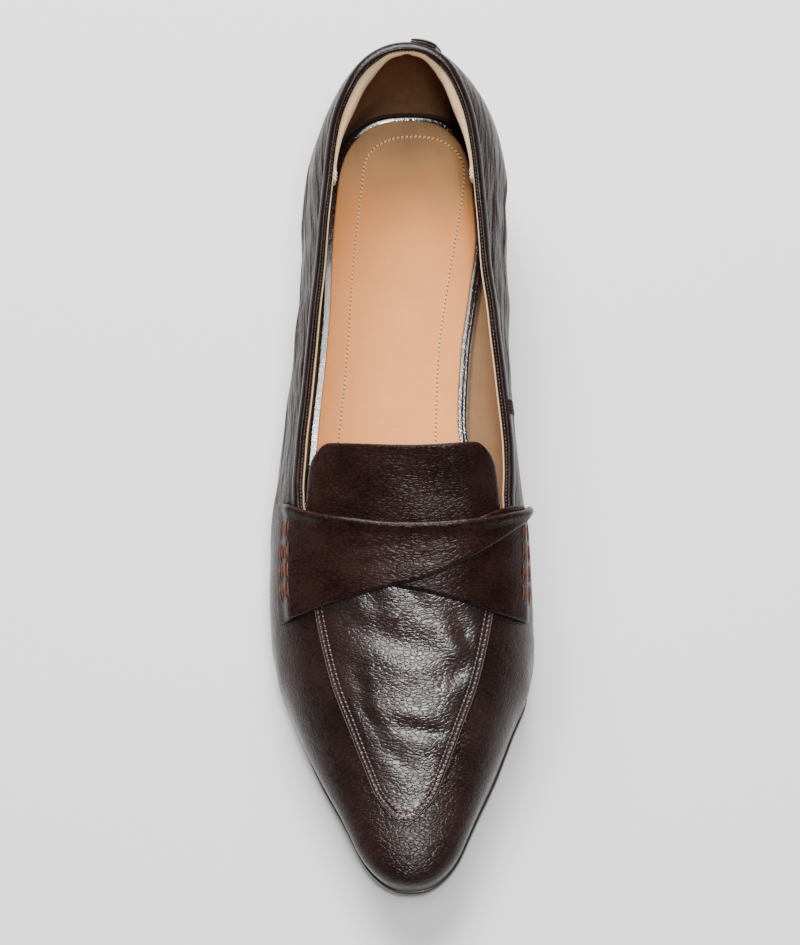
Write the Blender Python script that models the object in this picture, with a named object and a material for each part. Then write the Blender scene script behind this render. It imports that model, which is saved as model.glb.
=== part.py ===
"""Pointed block-heel loafer for the right foot, with a crossed saddle strap.

Every curved piece is worked out from one last: a row of vertical cross sections
from heel to toe.  The upper is the wall between the last and a smaller last, and
the apron, tongue, straps and heel tab lie between two larger lasts.

Sizes are in millimetres and are turned into metres when a mesh is made.  "t" is the
distance from the back of the heel towards the toe.  The toe points to -Y, the
lateral side is -X, the medial side is +X, and the floor is z = 0.
"""

import math
from collections import namedtuple

import bmesh
import bpy
from mathutils import Vector

MM = 0.001
LATERAL, MEDIAL = -1, 1
SIDES = (LATERAL, MEDIAL)

# Last and upper
LENGTH = 259.8          # back of the heel to the tip of the toe
WALL = 1.8              # leather and lining together
COUNTER = 1.2           # extra thickness of the stiffened heel
GAP = 0.3               # between pieces that lie against each other
HEEL_CAP = 46.0         # length over which the heel rounds off at its widest line
SEAT_CAP = 27.0         # the same at the sole
HEEL_ROUND = 2.1        # exponent of the heel's round end in plan
SEAT_ROUND = 2.7        # the same at the sole
TOE_CAP = 14.0          # length over which the toe rounds off
TOE_ROUND = 2.6
NOSE = 6.5              # height of the upright tip of the toe
BACK_BULGE = 18.0       # height of the rearmost point of the back curve
BACK_UNDERCUT = 4.5     # how far the back curve tucks in at the sole
BACK_LEAN = 7.0         # how far it leans forward at the collar
BACK_LEAN_HEIGHT = 35.0
BACK_FADE = 70.0        # length over which the back curve fades out
SIDE_BOW = 1.8          # roundness of the wall between sole and widest line

# Sole and heel
SOLE = 3.5              # outsole thickness
SOLE_EDGE = 0.7         # rounding of the outsole's edge
HEEL_FRONT = 55.0       # breast of the heel at the sole
HEEL_FRONT_LOW = 50.0   # breast of the heel at the floor
HEEL_BACK = 2.0
HEEL_BACK_LOW = 5.5
HEEL_INSET = 1.0
HEEL_INSET_LOW = 3.0
TOP_LIFT = 5.0
TOP_LIFT_EDGE = 0.6
FOOTBED = 4.0
FOOTBED_EDGE = 1.2
SOCK = 1.2
SOCK_BORDER = 2.6       # the footbed's dark edge that shows round the sock
SOCK_EDGE = 0.4
FOOTBED_BACK = 4.0      # how far the footbed stops short of the heel's inside

# Pieces on the upper
APRON = 1.2
TONGUE = 1.3
STRAP = 1.2
BINDING_WIDE = 1.6      # half the width of the rolled topline binding
BINDING_HIGH = 1.5      # half its height
BINDING_END = 145.5     # where the binding goes under the strap
BINDING_SIDES = 8
TAB = 1.2               # two layers of leather, folded at the lower end
TAB_FROM, TAB_TO = 0.05, 3.0
TAB_HEIGHT = 12.0
TAB_BELOW_COLLAR = 0.6
APRON_REAR = 166.0      # the apron meets the tongue under the strap
APRON_TIP = 241.5
APRON_CAP = 10.0
TONGUE_REAR = 135.0
TONGUE_FREE = 150.0     # where the tongue begins to stand off the instep
TONGUE_CORNER = 5.5
TONGUE_BOW = 2.3        # how far the tongue's corners reach back past its middle
TONGUE_SLANT = 0.8      # how much further back the lateral corner is
TONGUE_LIFT = 1.6       # how far the tongue stands off the instep at its end

# Mesh steps
HEEL_STEPS, QUARTER_STEPS, VAMP_STEPS, TOE_STEPS = 9, 10, 13, 6
LOW_STEPS, HIGH_STEPS = 4, 8

# Heights are above the feather line, where the upper meets the sole.  Widest and floor
# widths are from the shoe's axis, and full is the exponent of the section's shoulder.
Section = namedtuple(
    "Section",
    "t ridge_x ridge belly widest_lat widest_med floor_lat floor_med full_lat full_med",
)
SECTIONS = [
    Section(0.0, 1.0, 68.2, 16.0, 25.6, 29.8, 25.0, 26.4, 3.50, 2.50),
    Section(20.0, 1.1, 67.5, 16.2, 29.2, 33.8, 27.2, 27.4, 2.19, 1.85),
    Section(50.0, 1.2, 66.4, 16.5, 32.0, 32.1, 28.3, 27.6, 1.54, 1.60),
    Section(70.0, 1.2, 66.2, 17.5, 32.7, 32.4, 28.8, 24.9, 1.51, 1.56),
    Section(90.0, 1.2, 65.3, 18.5, 34.6, 32.7, 30.4, 22.0, 1.54, 1.87),
    Section(110.0, 1.4, 64.7, 18.0, 37.0, 33.8, 32.8, 20.9, 1.66, 2.42),
    Section(130.0, 1.6, 63.0, 17.0, 39.9, 35.6, 34.8, 25.4, 1.90, 3.00),
    Section(150.0, 1.5, 56.8, 15.5, 42.4, 38.0, 37.0, 32.4, 2.30, 2.90),
    Section(168.0, 1.0, 48.7, 14.5, 43.0, 39.2, 38.4, 36.8, 2.30, 2.50),
    Section(182.0, 0.6, 43.4, 14.0, 42.2, 39.5, 38.4, 37.2, 2.25, 2.30),
    Section(196.0, 0.4, 38.5, 13.5, 39.5, 38.0, 37.2, 36.4, 2.20, 2.25),
    Section(210.0, 0.3, 33.0, 13.0, 34.2, 32.6, 32.8, 31.6, 2.15, 2.20),
    Section(224.0, 0.5, 26.3, 12.0, 27.7, 26.9, 27.0, 26.5, 2.10, 2.10),
    Section(238.0, 0.8, 19.6, 10.0, 20.2, 20.8, 19.6, 20.3, 2.10, 2.10),
    Section(259.8, 1.0, 12.0, 6.0, 10.2, 12.2, 9.3, 11.3, 2.00, 2.00),
]

# Underside of the outsole above the floor, and how far the sole stands out past the upper
SoleLine = namedtuple("SoleLine", "t under margin")
SOLE_LINE = [
    SoleLine(0.0, 25.0, 0.6),
    SoleLine(25.0, 24.0, 0.6),
    SoleLine(55.0, 21.4, 0.5),
    SoleLine(80.0, 17.0, 0.4),
    SoleLine(100.0, 12.4, 0.4),
    SoleLine(120.0, 7.4, 0.5),
    SoleLine(138.0, 3.0, 0.7),
    SoleLine(152.0, 0.6, 0.9),
    SoleLine(160.0, 0.0, 1.0),
    SoleLine(190.0, 0.0, 0.9),
    SoleLine(205.0, 0.6, 0.8),
    SoleLine(225.0, 3.0, 0.7),
    SoleLine(245.0, 6.8, 0.7),
    SoleLine(259.8, 9.8, 0.7),
]

# Cut edge of the upper above the floor, under the topline binding
Collar = namedtuple("Collar", "t height")
COLLAR = [
    Collar(0.0, 82.0),
    Collar(12.0, 80.8),
    Collar(30.0, 74.2),
    Collar(50.0, 65.8),
    Collar(70.0, 59.6),
    Collar(90.0, 54.6),
    Collar(110.0, 51.2),
    Collar(130.0, 49.0),
    Collar(145.0, 48.8),
    Collar(152.0, 52.0),
    Collar(160.0, 61.0),
    Collar(259.8, 90.0),
]

# Half the width of the apron and tongue in plan
Plan = namedtuple("Plan", "t half")
APRON_PLAN = [
    Plan(132.0, 27.2),
    Plan(150.0, 29.6),
    Plan(166.0, 28.8),
    Plan(178.0, 27.4),
    Plan(199.0, 22.8),
    Plan(215.0, 16.8),
    Plan(230.0, 10.8),
    Plan(241.5, 6.0),
]

# Strap edges round the foot: wrap is -1 at the widest lateral point, 0 at the ridge and
# 1 at the widest medial point, and lift is the strap's height off the upper.
StrapRow = namedtuple("StrapRow", "wrap rear front lift")
STRAP_OVER = [
    StrapRow(-0.69, 144.0, 180.2, 0.3),
    StrapRow(-0.62, 145.6, 180.5, 0.6),
    StrapRow(-0.53, 147.6, 180.2, 2.2),
    StrapRow(-0.45, 149.8, 179.6, 2.2),
    StrapRow(-0.20, 154.5, 176.8, 3.7),
    StrapRow(0.00, 156.5, 173.4, 3.7),
    StrapRow(0.25, 155.0, 165.6, 3.7),
    StrapRow(0.50, 151.5, 156.8, 3.7),
    StrapRow(0.62, 149.4, 153.2, 3.7),
    StrapRow(0.68, 148.0, 150.8, 3.3),
    StrapRow(0.73, 146.8, 148.6, 2.6),
]
STRAP_UNDER = [
    StrapRow(0.80, 145.4, 179.4, 0.3),
    StrapRow(0.74, 146.2, 180.2, 0.6),
    StrapRow(0.64, 147.5, 181.0, 2.1),
    StrapRow(0.45, 150.5, 180.4, 2.1),
    StrapRow(0.20, 156.0, 177.6, 2.1),
    StrapRow(0.00, 159.5, 174.6, 2.1),
    StrapRow(-0.16, 161.5, 171.5, 2.1),
]

Material = namedtuple("Material", "colour roughness")
BROWN_LEATHER = Material((0.045, 0.020, 0.016), 0.42)
BINDING_LEATHER = Material((0.026, 0.012, 0.010), 0.30)
TAN_LEATHER = Material((0.62, 0.40, 0.25), 0.55)
SOLE_RUBBER = Material((0.030, 0.020, 0.017), 0.60)
HEEL_STACK = Material((0.040, 0.022, 0.016), 0.45)


def slopes_of(xs, ys):
    """Slope at each row of a table, flat wherever the table turns round or levels out."""
    steps = [(ys[i + 1] - ys[i]) / (xs[i + 1] - xs[i]) for i in range(len(xs) - 1)]
    slopes = [steps[0]]
    for before, after in zip(steps, steps[1:]):
        turns = before * after <= 0
        slopes.append(0.0 if turns else 2 * before * after / (before + after))
    slopes.append(steps[-1])
    return slopes


def read(table, column, at):
    """A column of a table at any place, on a smooth curve through its rows."""
    xs = [row[0] for row in table]
    ys = [getattr(row, column) for row in table]
    if xs[0] > xs[-1]:
        xs, ys = xs[::-1], ys[::-1]
    at = min(max(at, xs[0]), xs[-1])
    i = max(k for k in range(len(xs) - 1) if xs[k] <= at)
    slopes = slopes_of(xs, ys)
    width = xs[i + 1] - xs[i]
    f = (at - xs[i]) / width
    rise = f * f * (3 - 2 * f)
    start = slopes[i] * width * f * (1 - f) * (1 - f)
    end = slopes[i + 1] * width * f * f * (f - 1)
    return ys[i] + (ys[i + 1] - ys[i]) * rise + start + end


def rounding(distance, length, power=2.0):
    """Share of the full width that a round end has at a distance from its tip."""
    if distance >= length:
        return 1.0
    if distance <= 0:
        return 0.0
    return (1 - (1 - distance / length) ** power) ** (1 / power)


def feather(t):
    """Height of the line where the upper meets the sole."""
    return read(SOLE_LINE, "under", t) + SOLE + GAP


def back_curve(t, height):
    """How far the back curve moves a point towards the toe."""
    fade = max(0.0, 1 - t / BACK_FADE) ** 2
    if height < BACK_BULGE:
        return fade * BACK_UNDERCUT * (1 - height / BACK_BULGE) ** 2
    return fade * BACK_LEAN * ((height - BACK_BULGE) / BACK_LEAN_HEIGHT) ** 2


Shape = namedtuple("Shape", "t ridge_x ridge belly widest floor full")


def section(t, inset=0.0):
    """The last's cross section at t, made smaller all round by inset."""
    nose = rounding(LENGTH - inset - t, TOE_CAP, TOE_ROUND)
    ends = nose * rounding(t - inset, HEEL_CAP, HEEL_ROUND)
    seat = nose * rounding(t - inset, SEAT_CAP, SEAT_ROUND)

    def both(name):
        lateral = read(SECTIONS, name + "_lat", t)
        medial = read(SECTIONS, name + "_med", t)
        return (medial - lateral) / 2, (medial + lateral) / 2

    def span(name, share):
        centre, half = both(name)
        half = max(0.0, half - inset) * share
        return {LATERAL: centre - half, MEDIAL: centre + half}

    def shoulder():
        apart, middle = both("full")
        return {LATERAL: middle - apart * ends, MEDIAL: middle + apart * ends}

    ridge = NOSE + (read(SECTIONS, "ridge", t) - NOSE) * nose - inset
    widest = span("widest", ends)
    centre = (widest[LATERAL] + widest[MEDIAL]) / 2
    lean = read(SECTIONS, "ridge_x", t) - centre
    belly = min(read(SECTIONS, "belly", t), 0.75 * ridge)
    return Shape(t, centre + lean * ends, ridge, belly, widest, span("floor", seat), shoulder())


def inward(station, inset, extra=0.0):
    """A station moved in from both ends, and its inset, with an extra inset at the heel."""
    depth = inset + extra * max(0.0, 1 - station / BACK_FADE) ** 2
    return depth + station * (1 - 2 * depth / LENGTH), depth


def place(t, x, height):
    """A point of the last in the shoe's frame, from its height above the feather line."""
    return Vector((x, -(t + back_curve(t, height)), feather(t) + height))


def form(shape, side, rise):
    """A point of a section: rise is 0 at the sole, 1 at the widest line and 2 at the ridge."""
    widest, floor = shape.widest[side], shape.floor[side]
    if rise <= 1:
        x = floor + (widest - floor) * (1 - (1 - rise) ** SIDE_BOW)
        return place(shape.t, x, shape.belly * rise)
    angle = (rise - 1) * math.pi / 2
    power = 2 / shape.full[side]
    x = shape.ridge_x + (widest - shape.ridge_x) * max(0.0, math.cos(angle)) ** power
    height = shape.belly + (shape.ridge - shape.belly) * math.sin(angle) ** power
    return place(shape.t, x, height)


def collar_rise(shape, side):
    """Where the topline cuts a section: 2 where the vamp is closed over the foot."""
    height = read(COLLAR, "height", shape.t) - feather(shape.t)
    share = (height - shape.belly) / (shape.ridge - shape.belly)
    if share >= 1:
        return 2.0
    return 1 + math.asin(share ** (shape.full[side] / 2)) * 2 / math.pi


def on_top(t, x, off):
    """The point above x on the last made larger by off."""
    shape = section(t, -off)
    side = MEDIAL if x > shape.ridge_x else LATERAL
    share = min(1.0, abs(x - shape.ridge_x) / abs(shape.widest[side] - shape.ridge_x))
    full = shape.full[side]
    height = shape.belly + (shape.ridge - shape.belly) * (1 - share**full) ** (1 / full)
    return place(t, x, height)


def wrapped(t, wrap, off):
    """A point round the foot at t on the last made larger by off."""
    side = MEDIAL if wrap > 0 else LATERAL
    return form(section(t, -off), side, 2 - abs(wrap))


def stations():
    """Places along the last, closer together at both ends."""
    heel = [HEEL_CAP * (1 - math.cos(math.pi / 2 * k / HEEL_STEPS)) for k in range(HEEL_STEPS)]
    quarter = steps_between(HEEL_CAP, BINDING_END, QUARTER_STEPS)[:-1]
    vamp = steps_between(BINDING_END, LENGTH - TOE_CAP, VAMP_STEPS)[:-1]
    toe = [LENGTH - TOE_CAP * (1 - math.sin(math.pi / 2 * f)) for f in shares(TOE_STEPS)]
    return heel + quarter + vamp + toe


def shares(count):
    return [k / count for k in range(count + 1)]


def steps_between(start, stop, count):
    return [start + (stop - start) * f for f in shares(count)]


def make_object(name, sheets, material, origin):
    """One closed object from sheets of points that share their borders."""
    mesh = bpy.data.meshes.new(name)
    bm = bmesh.new()
    for rows in sheets:
        verts = [[bm.verts.new(point * MM) for point in row] for row in rows]
        for low, high in zip(verts, verts[1:]):
            for k in range(len(low) - 1):
                bm.faces.new((low[k], low[k + 1], high[k + 1], high[k]))
    bmesh.ops.remove_doubles(bm, verts=bm.verts, dist=1e-6)
    bmesh.ops.recalc_face_normals(bm, faces=bm.faces)
    if bm.calc_volume(signed=True) < 0:
        bmesh.ops.reverse_faces(bm, faces=bm.faces)
    bm.to_mesh(mesh)
    bm.free()
    mesh.shade_smooth()
    mesh.set_sharp_from_angle(angle=math.radians(40))
    mesh.materials.append(material)
    obj = bpy.data.objects.new(name, mesh)
    bpy.context.scene.collection.objects.link(obj)
    obj.parent = origin
    return obj


def principled(name, look):
    material = bpy.data.materials.new(name)
    material.use_nodes = True
    shader = material.node_tree.nodes["Principled BSDF"]
    shader.inputs["Base Color"].default_value = (*look.colour, 1.0)
    shader.inputs["Roughness"].default_value = look.roughness
    shader.inputs["Metallic"].default_value = 0.0
    return material


def slab(lower, upper):
    """Sheets of the solid between two grids of points."""
    rims = [[lower[0], upper[0]], [lower[-1], upper[-1]]]
    for end in (0, -1):
        rims.append([[row[end] for row in lower], [row[end] for row in upper]])
    return [lower, upper, *rims]


def layered(layers):
    """Sheets of the solid made of layers, each a row of left and right points."""
    sheets = [layers[0], layers[-1]]
    for low, high in zip(layers, layers[1:]):
        for end in (0, -1):
            sheets.append([[rung[end] for rung in low], [rung[end] for rung in high]])
            sheets.append([low[end], high[end]])
    return sheets


def upper_sheets():
    """Outer face, inner face, collar rim and bottom rim of the upper."""
    rises = shares(LOW_STEPS), [1 + f for f in shares(HIGH_STEPS)][1:]

    def face(side, inset, extra):
        rows = []
        for station in stations():
            shape = section(*inward(station, inset, extra))
            top = collar_rise(section(station), side)
            high = [1 + (rise - 1) * (top - 1) for rise in rises[1]]
            rows.append([form(shape, side, rise) for rise in (*rises[0], *high)])
        return rows

    sheets = []
    throat = [collar_rise(section(t), LATERAL) for t in stations()].index(2.0)
    for side in SIDES:
        outer, inner = face(side, 0.0, 0.0), face(side, WALL, COUNTER)
        sheets += [outer, inner]
        sheets.append([[row[0] for row in outer], [row[0] for row in inner]])
        edge = slice(0, throat + 1)
        sheets.append([[row[-1] for row in outer[edge]], [row[-1] for row in inner[edge]]])
    return sheets


def sole_rungs(t, out, height):
    """Left and right points of the sole's outline at t, moved out from the feather line."""
    shape = section(t, -out)
    shift = back_curve(t, 0.0)
    return [Vector((shape.floor[side], -(t + shift), height)) for side in SIDES]


def outsole_sheets():
    def layer(edge, rise):
        rows = []
        for station in stations():
            t, depth = inward(station, edge - read(SOLE_LINE, "margin", station))
            rows.append(sole_rungs(t, -depth, read(SOLE_LINE, "under", t) + rise))
        return rows

    return layered(
        [
            layer(SOLE_EDGE, 0.0),
            layer(0.0, SOLE_EDGE),
            layer(0.0, SOLE - SOLE_EDGE),
            layer(SOLE_EDGE, SOLE),
        ]
    )


def pad_sheets(inset, base, thickness, edge):
    """A pad inside the shoe: inset from the feather line and base above the outsole."""

    def layer(more, rise):
        rows = []
        for station in stations():
            t, depth = inward(station, inset + more, FOOTBED_BACK)
            rows.append(sole_rungs(t, -depth, feather(t) + base + rise))
        return rows

    return layered(
        [
            layer(edge / 2, 0.0),
            layer(0.0, edge),
            layer(0.0, thickness - edge),
            layer(edge, thickness),
        ]
    )


def heel_rungs(share, height):
    """The heel's outline from the floor, share 0, to the sole, share 1."""
    inset = HEEL_INSET_LOW + (HEEL_INSET - HEEL_INSET_LOW) * share
    back = HEEL_BACK_LOW + (HEEL_BACK - HEEL_BACK_LOW) * share
    front = HEEL_FRONT_LOW + (HEEL_FRONT - HEEL_FRONT_LOW) * share
    rungs = []
    for k in range(HEEL_STEPS + 3):
        along = 1 - math.cos(math.pi / 2 * k / (HEEL_STEPS + 2))
        t = HEEL_FRONT * along
        points = sole_rungs(max(t, 0.0), 0.0, height(t))
        centre = (points[0] + points[1]) / 2
        half = abs(points[1].x - points[0].x) / 2
        for point, side in zip(points, SIDES):
            point.x = centre.x + side * max(0.0, half - inset * min(1.0, half / 10))
            point.y = -(back + (front - back) * along + back_curve(t, 0.0))
        rungs.append(points)
    return rungs


def heel_sheets():
    base = TOP_LIFT + GAP

    def layer(share):
        def height(t):
            top = read(SOLE_LINE, "under", t) - GAP
            return base + (top - base) * share

        return heel_rungs(share, height)

    return layered([layer(share) for share in shares(4)])


def top_lift_sheets():
    def layer(share, height):
        return heel_rungs(share, lambda t: height)

    edge_share = -TOP_LIFT_EDGE / (HEEL_INSET_LOW - HEEL_INSET)
    return layered(
        [layer(edge_share, 0.0), layer(0.0, TOP_LIFT_EDGE), layer(0.0, TOP_LIFT)]
    )


def apron_half(t):
    return read(APRON_PLAN, "half", t) * rounding(APRON_TIP - t, APRON_CAP)


def apron_sheets():
    tip = [APRON_TIP - APRON_CAP * (1 - math.sin(math.pi / 2 * f)) for f in shares(5)]
    places = steps_between(APRON_REAR, APRON_TIP - APRON_CAP, 13)[:-1] + tip

    def face(off):
        return [[on_top(t, q * apron_half(t), off) for q in steps_between(-1, 1, 12)] for t in places]

    return slab(face(GAP), face(GAP + APRON))


def tongue_sheets():
    """The tongue runs on from the apron, over the throat, and ends square with round corners."""
    corner = [TONGUE_REAR + TONGUE_CORNER * (1 - math.cos(math.pi / 2 * f)) for f in shares(4)]
    places = corner + steps_between(corner[-1], APRON_REAR - GAP, 6)[1:]

    def half(t):
        corner_cut = TONGUE_CORNER * (1 - rounding(t - TONGUE_REAR, TONGUE_CORNER))
        return read(APRON_PLAN, "half", t) - corner_cut

    def free(t):
        return max(0.0, TONGUE_FREE - t) / (TONGUE_FREE - TONGUE_REAR)

    def point(t, q, off):
        back = (TONGUE_BOW * q * q - TONGUE_SLANT * q) * free(t)
        up = Vector((0.0, 0.0, TONGUE_LIFT * free(t) ** 2))
        return on_top(t - back, q * half(t), off) + up

    def face(off):
        return [[point(t, q, off) for q in steps_between(-1, 1, 12)] for t in places]

    return slab(face(GAP), face(GAP + TONGUE))


def strap_sheets(table, steps):
    """A flat strap laid round the foot between its rear and front edges."""

    def face(off):
        rows = []
        for wrap in steps_between(table[0].wrap, table[-1].wrap, steps):
            rear, front = read(table, "rear", wrap), read(table, "front", wrap)
            lift = read(table, "lift", wrap) + off
            rows.append([wrapped(t, wrap, lift) for t in steps_between(rear, front, 6)])
        return rows

    return slab(face(0.0), face(STRAP))


def binding_sheets():
    """A rolled bead along the topline, from the strap round the heel to the strap."""
    along = [t for t in stations() if t <= BINDING_END]
    route = [(LATERAL, t) for t in reversed(along[1:])] + [(MEDIAL, t) for t in along]
    rings = []
    for side, t in route:
        shape, inside = section(t), section(*inward(t, WALL, COUNTER))
        rise = collar_rise(shape, side)
        rim = form(shape, side, rise)
        inner = form(inside, side, rise)
        up = (rim - form(shape, side, rise - 0.05)).normalized()
        across = (rim - inner).normalized()
        up = (up - across * up.dot(across)).normalized()
        centre = (rim + inner) / 2 + up * (BINDING_HIGH + GAP)
        ring = []
        for k in range(BINDING_SIDES + 1):
            angle = 2 * math.pi * (k % BINDING_SIDES + 0.5) / BINDING_SIDES
            wide = across * (BINDING_WIDE * math.cos(angle))
            ring.append(centre + wide + up * (BINDING_HIGH * math.sin(angle)))
        rings.append(ring)
    half = BINDING_SIDES // 2
    sheets = [rings]
    for ring in (rings[0], rings[-1]):
        sheets.append([ring[: half + 1], [ring[-1 - k] for k in range(half + 1)]])
    return sheets


def tab_sheets():
    """A short folded leather tab on the back of the quarter, just under the binding."""

    def face(off):
        rows = []
        for t in steps_between(TAB_FROM, TAB_TO, 6):
            shape = section(*inward(t, -off))
            top = collar_rise(section(t), MEDIAL)
            drop = TAB_HEIGHT / (shape.ridge - shape.belly)
            below = TAB_BELOW_COLLAR / (shape.ridge - shape.belly)
            rows.append([form(shape, MEDIAL, rise) for rise in steps_between(top - drop, top - below, 4)])
        return rows

    return slab(face(GAP), face(GAP + TAB))


def centre_on_floor(origin, objects):
    """Puts the middle of the shoe's box over the origin, with the floor at z = 0."""
    corners = [Vector(corner) for obj in objects for corner in obj.bound_box]
    for axis in (0, 1):
        low = min(corner[axis] for corner in corners)
        high = max(corner[axis] for corner in corners)
        origin.location[axis] = -(low + high) / 2


def main():
    for obj in list(bpy.data.objects):
        bpy.data.objects.remove(obj, do_unlink=True)
    origin = bpy.data.objects.new("shoe", None)
    bpy.context.scene.collection.objects.link(origin)

    brown = principled("brown_leather", BROWN_LEATHER)
    binding = principled("binding_leather", BINDING_LEATHER)
    tan = principled("tan_leather", TAN_LEATHER)
    rubber = principled("sole_rubber", SOLE_RUBBER)
    stack = principled("heel_stack", HEEL_STACK)

    footbed_inset = WALL + GAP
    sock_base = FOOTBED + GAP
    sock_inset = footbed_inset + SOCK_BORDER
    pieces = [
        ("outsole", outsole_sheets(), rubber),
        ("heel_block", heel_sheets(), stack),
        ("heel_top_lift", top_lift_sheets(), rubber),
        ("upper", upper_sheets(), brown),
        ("footbed", pad_sheets(footbed_inset, 0.0, FOOTBED, FOOTBED_EDGE), binding),
        ("sock_lining", pad_sheets(sock_inset, sock_base, SOCK, SOCK_EDGE), tan),
        ("vamp_apron", apron_sheets(), brown),
        ("tongue", tongue_sheets(), brown),
        ("strap_under", strap_sheets(STRAP_UNDER, 16), brown),
        ("strap_over", strap_sheets(STRAP_OVER, 24), brown),
        ("topline_binding", binding_sheets(), binding),
        ("heel_tab", tab_sheets(), brown),
    ]
    objects = [make_object(*piece, origin) for piece in pieces]
    centre_on_floor(origin, objects)


main()
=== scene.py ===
"""Looks of a pointed block-heel loafer for the right foot.

The visible pieces are worked out from the same last as the solids: a row of cross sections
from heel to toe.  Sizes are in millimetres until a mesh is made.  "t" is the distance from
the back of the heel towards the toe.  "around" is 0 on the ridge of the foot, 1 on the widest
line and 2 at the sole, negative on the lateral side.
"""

import math
from collections import namedtuple

import bmesh
import bpy
import numpy as np
from mathutils import Matrix, Vector


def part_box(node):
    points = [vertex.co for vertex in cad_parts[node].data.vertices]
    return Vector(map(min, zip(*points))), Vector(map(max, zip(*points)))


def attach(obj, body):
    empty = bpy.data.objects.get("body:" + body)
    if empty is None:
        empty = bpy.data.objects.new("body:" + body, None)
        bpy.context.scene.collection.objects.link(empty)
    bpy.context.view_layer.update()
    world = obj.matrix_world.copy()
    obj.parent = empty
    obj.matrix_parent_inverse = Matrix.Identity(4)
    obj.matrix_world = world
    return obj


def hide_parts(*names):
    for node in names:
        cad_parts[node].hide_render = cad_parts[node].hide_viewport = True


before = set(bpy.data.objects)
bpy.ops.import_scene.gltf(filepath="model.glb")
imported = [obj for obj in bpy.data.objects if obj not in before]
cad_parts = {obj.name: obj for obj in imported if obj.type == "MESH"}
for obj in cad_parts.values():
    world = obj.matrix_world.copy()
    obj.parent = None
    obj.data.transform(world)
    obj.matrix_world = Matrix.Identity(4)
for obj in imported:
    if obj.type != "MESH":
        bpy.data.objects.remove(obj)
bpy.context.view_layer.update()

MM = 0.001
LATERAL, MEDIAL = -1, 1
SIDES = (LATERAL, MEDIAL)


def named_rows(columns, *rows):
    """A table: rows of values with named columns."""
    row_type = namedtuple("Row", columns)
    return [row_type(*row) for row in rows]


# Last and upper
LENGTH = 259.8
WALL = 1.8
LEATHER = 1.1
COUNTER = 1.2
GAP = 0.3
HEEL_CAP, SEAT_CAP, HEEL_ROUND, SEAT_ROUND = 46.0, 27.0, 2.1, 2.7
TOE_CAP, TOE_ROUND = 14.0, 2.6
NOSE = 6.5
BELLY_LIMIT = 0.75
BACK_BULGE, BACK_UNDERCUT, BACK_LEAN, BACK_LEAN_HEIGHT, BACK_FADE = 18.0, 4.5, 7.0, 35.0, 70.0
SIDE_BOW = 1.8

# Sole and heel; the heel's inset is less where its half width is under HEEL_INSET_FULL
SOLE, SOLE_EDGE = 3.5, 0.7
HEEL_FRONT, HEEL_FRONT_LOW = 55.0, 50.0
HEEL_BACK, HEEL_BACK_LOW = 2.0, 5.5
HEEL_INSET, HEEL_INSET_LOW, HEEL_INSET_FULL = 1.0, 3.0, 10.0
TOP_LIFT, TOP_LIFT_EDGE = 5.0, 0.6
FOOTBED, FOOTBED_BACK, FOOTBED_EDGE = 4.0, 4.0, 0.6
SOCK, SOCK_BORDER, SOCK_EDGE = 1.2, 2.6, 0.7

# Pieces on the upper
APRON, TONGUE, STRAP = 1.2, 1.3, 1.2
APRON_REAR, APRON_TIP, APRON_CAP = 166.0, 241.5, 10.0
TONGUE_REAR, TONGUE_FREE, TONGUE_CORNER = 135.0, 150.0, 5.5
TONGUE_BOW, TONGUE_SLANT, TONGUE_LIFT = 2.3, 0.8, 1.6
BINDING_END = 145.5

SECTIONS = named_rows(
    "t ridge_x ridge belly widest_lat widest_med floor_lat floor_med full_lat full_med",
    (0.0, 1.0, 68.2, 16.0, 25.6, 29.8, 25.0, 26.4, 3.50, 2.50),
    (20.0, 1.1, 67.5, 16.2, 29.2, 33.8, 27.2, 27.4, 2.19, 1.85),
    (50.0, 1.2, 66.4, 16.5, 32.0, 32.1, 28.3, 27.6, 1.54, 1.60),
    (70.0, 1.2, 66.2, 17.5, 32.7, 32.4, 28.8, 24.9, 1.51, 1.56),
    (90.0, 1.2, 65.3, 18.5, 34.6, 32.7, 30.4, 22.0, 1.54, 1.87),
    (110.0, 1.4, 64.7, 18.0, 37.0, 33.8, 32.8, 20.9, 1.66, 2.42),
    (130.0, 1.6, 63.0, 17.0, 39.9, 35.6, 34.8, 25.4, 1.90, 3.00),
    (150.0, 1.5, 56.8, 15.5, 42.4, 38.0, 37.0, 32.4, 2.30, 2.90),
    (168.0, 1.0, 48.7, 14.5, 43.0, 39.2, 38.4, 36.8, 2.30, 2.50),
    (182.0, 0.6, 43.4, 14.0, 42.2, 39.5, 38.4, 37.2, 2.25, 2.30),
    (196.0, 0.4, 38.5, 13.5, 39.5, 38.0, 37.2, 36.4, 2.20, 2.25),
    (210.0, 0.3, 33.0, 13.0, 34.2, 32.6, 32.8, 31.6, 2.15, 2.20),
    (224.0, 0.5, 26.3, 12.0, 27.7, 26.9, 27.0, 26.5, 2.10, 2.10),
    (238.0, 0.8, 19.6, 10.0, 20.2, 20.8, 19.6, 20.3, 2.10, 2.10),
    (259.8, 1.0, 12.0, 6.0, 10.2, 12.2, 9.3, 11.3, 2.00, 2.00),
)

SOLE_LINE = named_rows(
    "t under margin",
    (0.0, 25.0, 0.6),
    (25.0, 24.0, 0.6),
    (55.0, 21.4, 0.5),
    (80.0, 17.0, 0.4),
    (100.0, 12.4, 0.4),
    (120.0, 7.4, 0.5),
    (138.0, 3.0, 0.7),
    (152.0, 0.6, 0.9),
    (160.0, 0.0, 1.0),
    (190.0, 0.0, 0.9),
    (205.0, 0.6, 0.8),
    (225.0, 3.0, 0.7),
    (245.0, 6.8, 0.7),
    (259.8, 9.8, 0.7),
)

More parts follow.
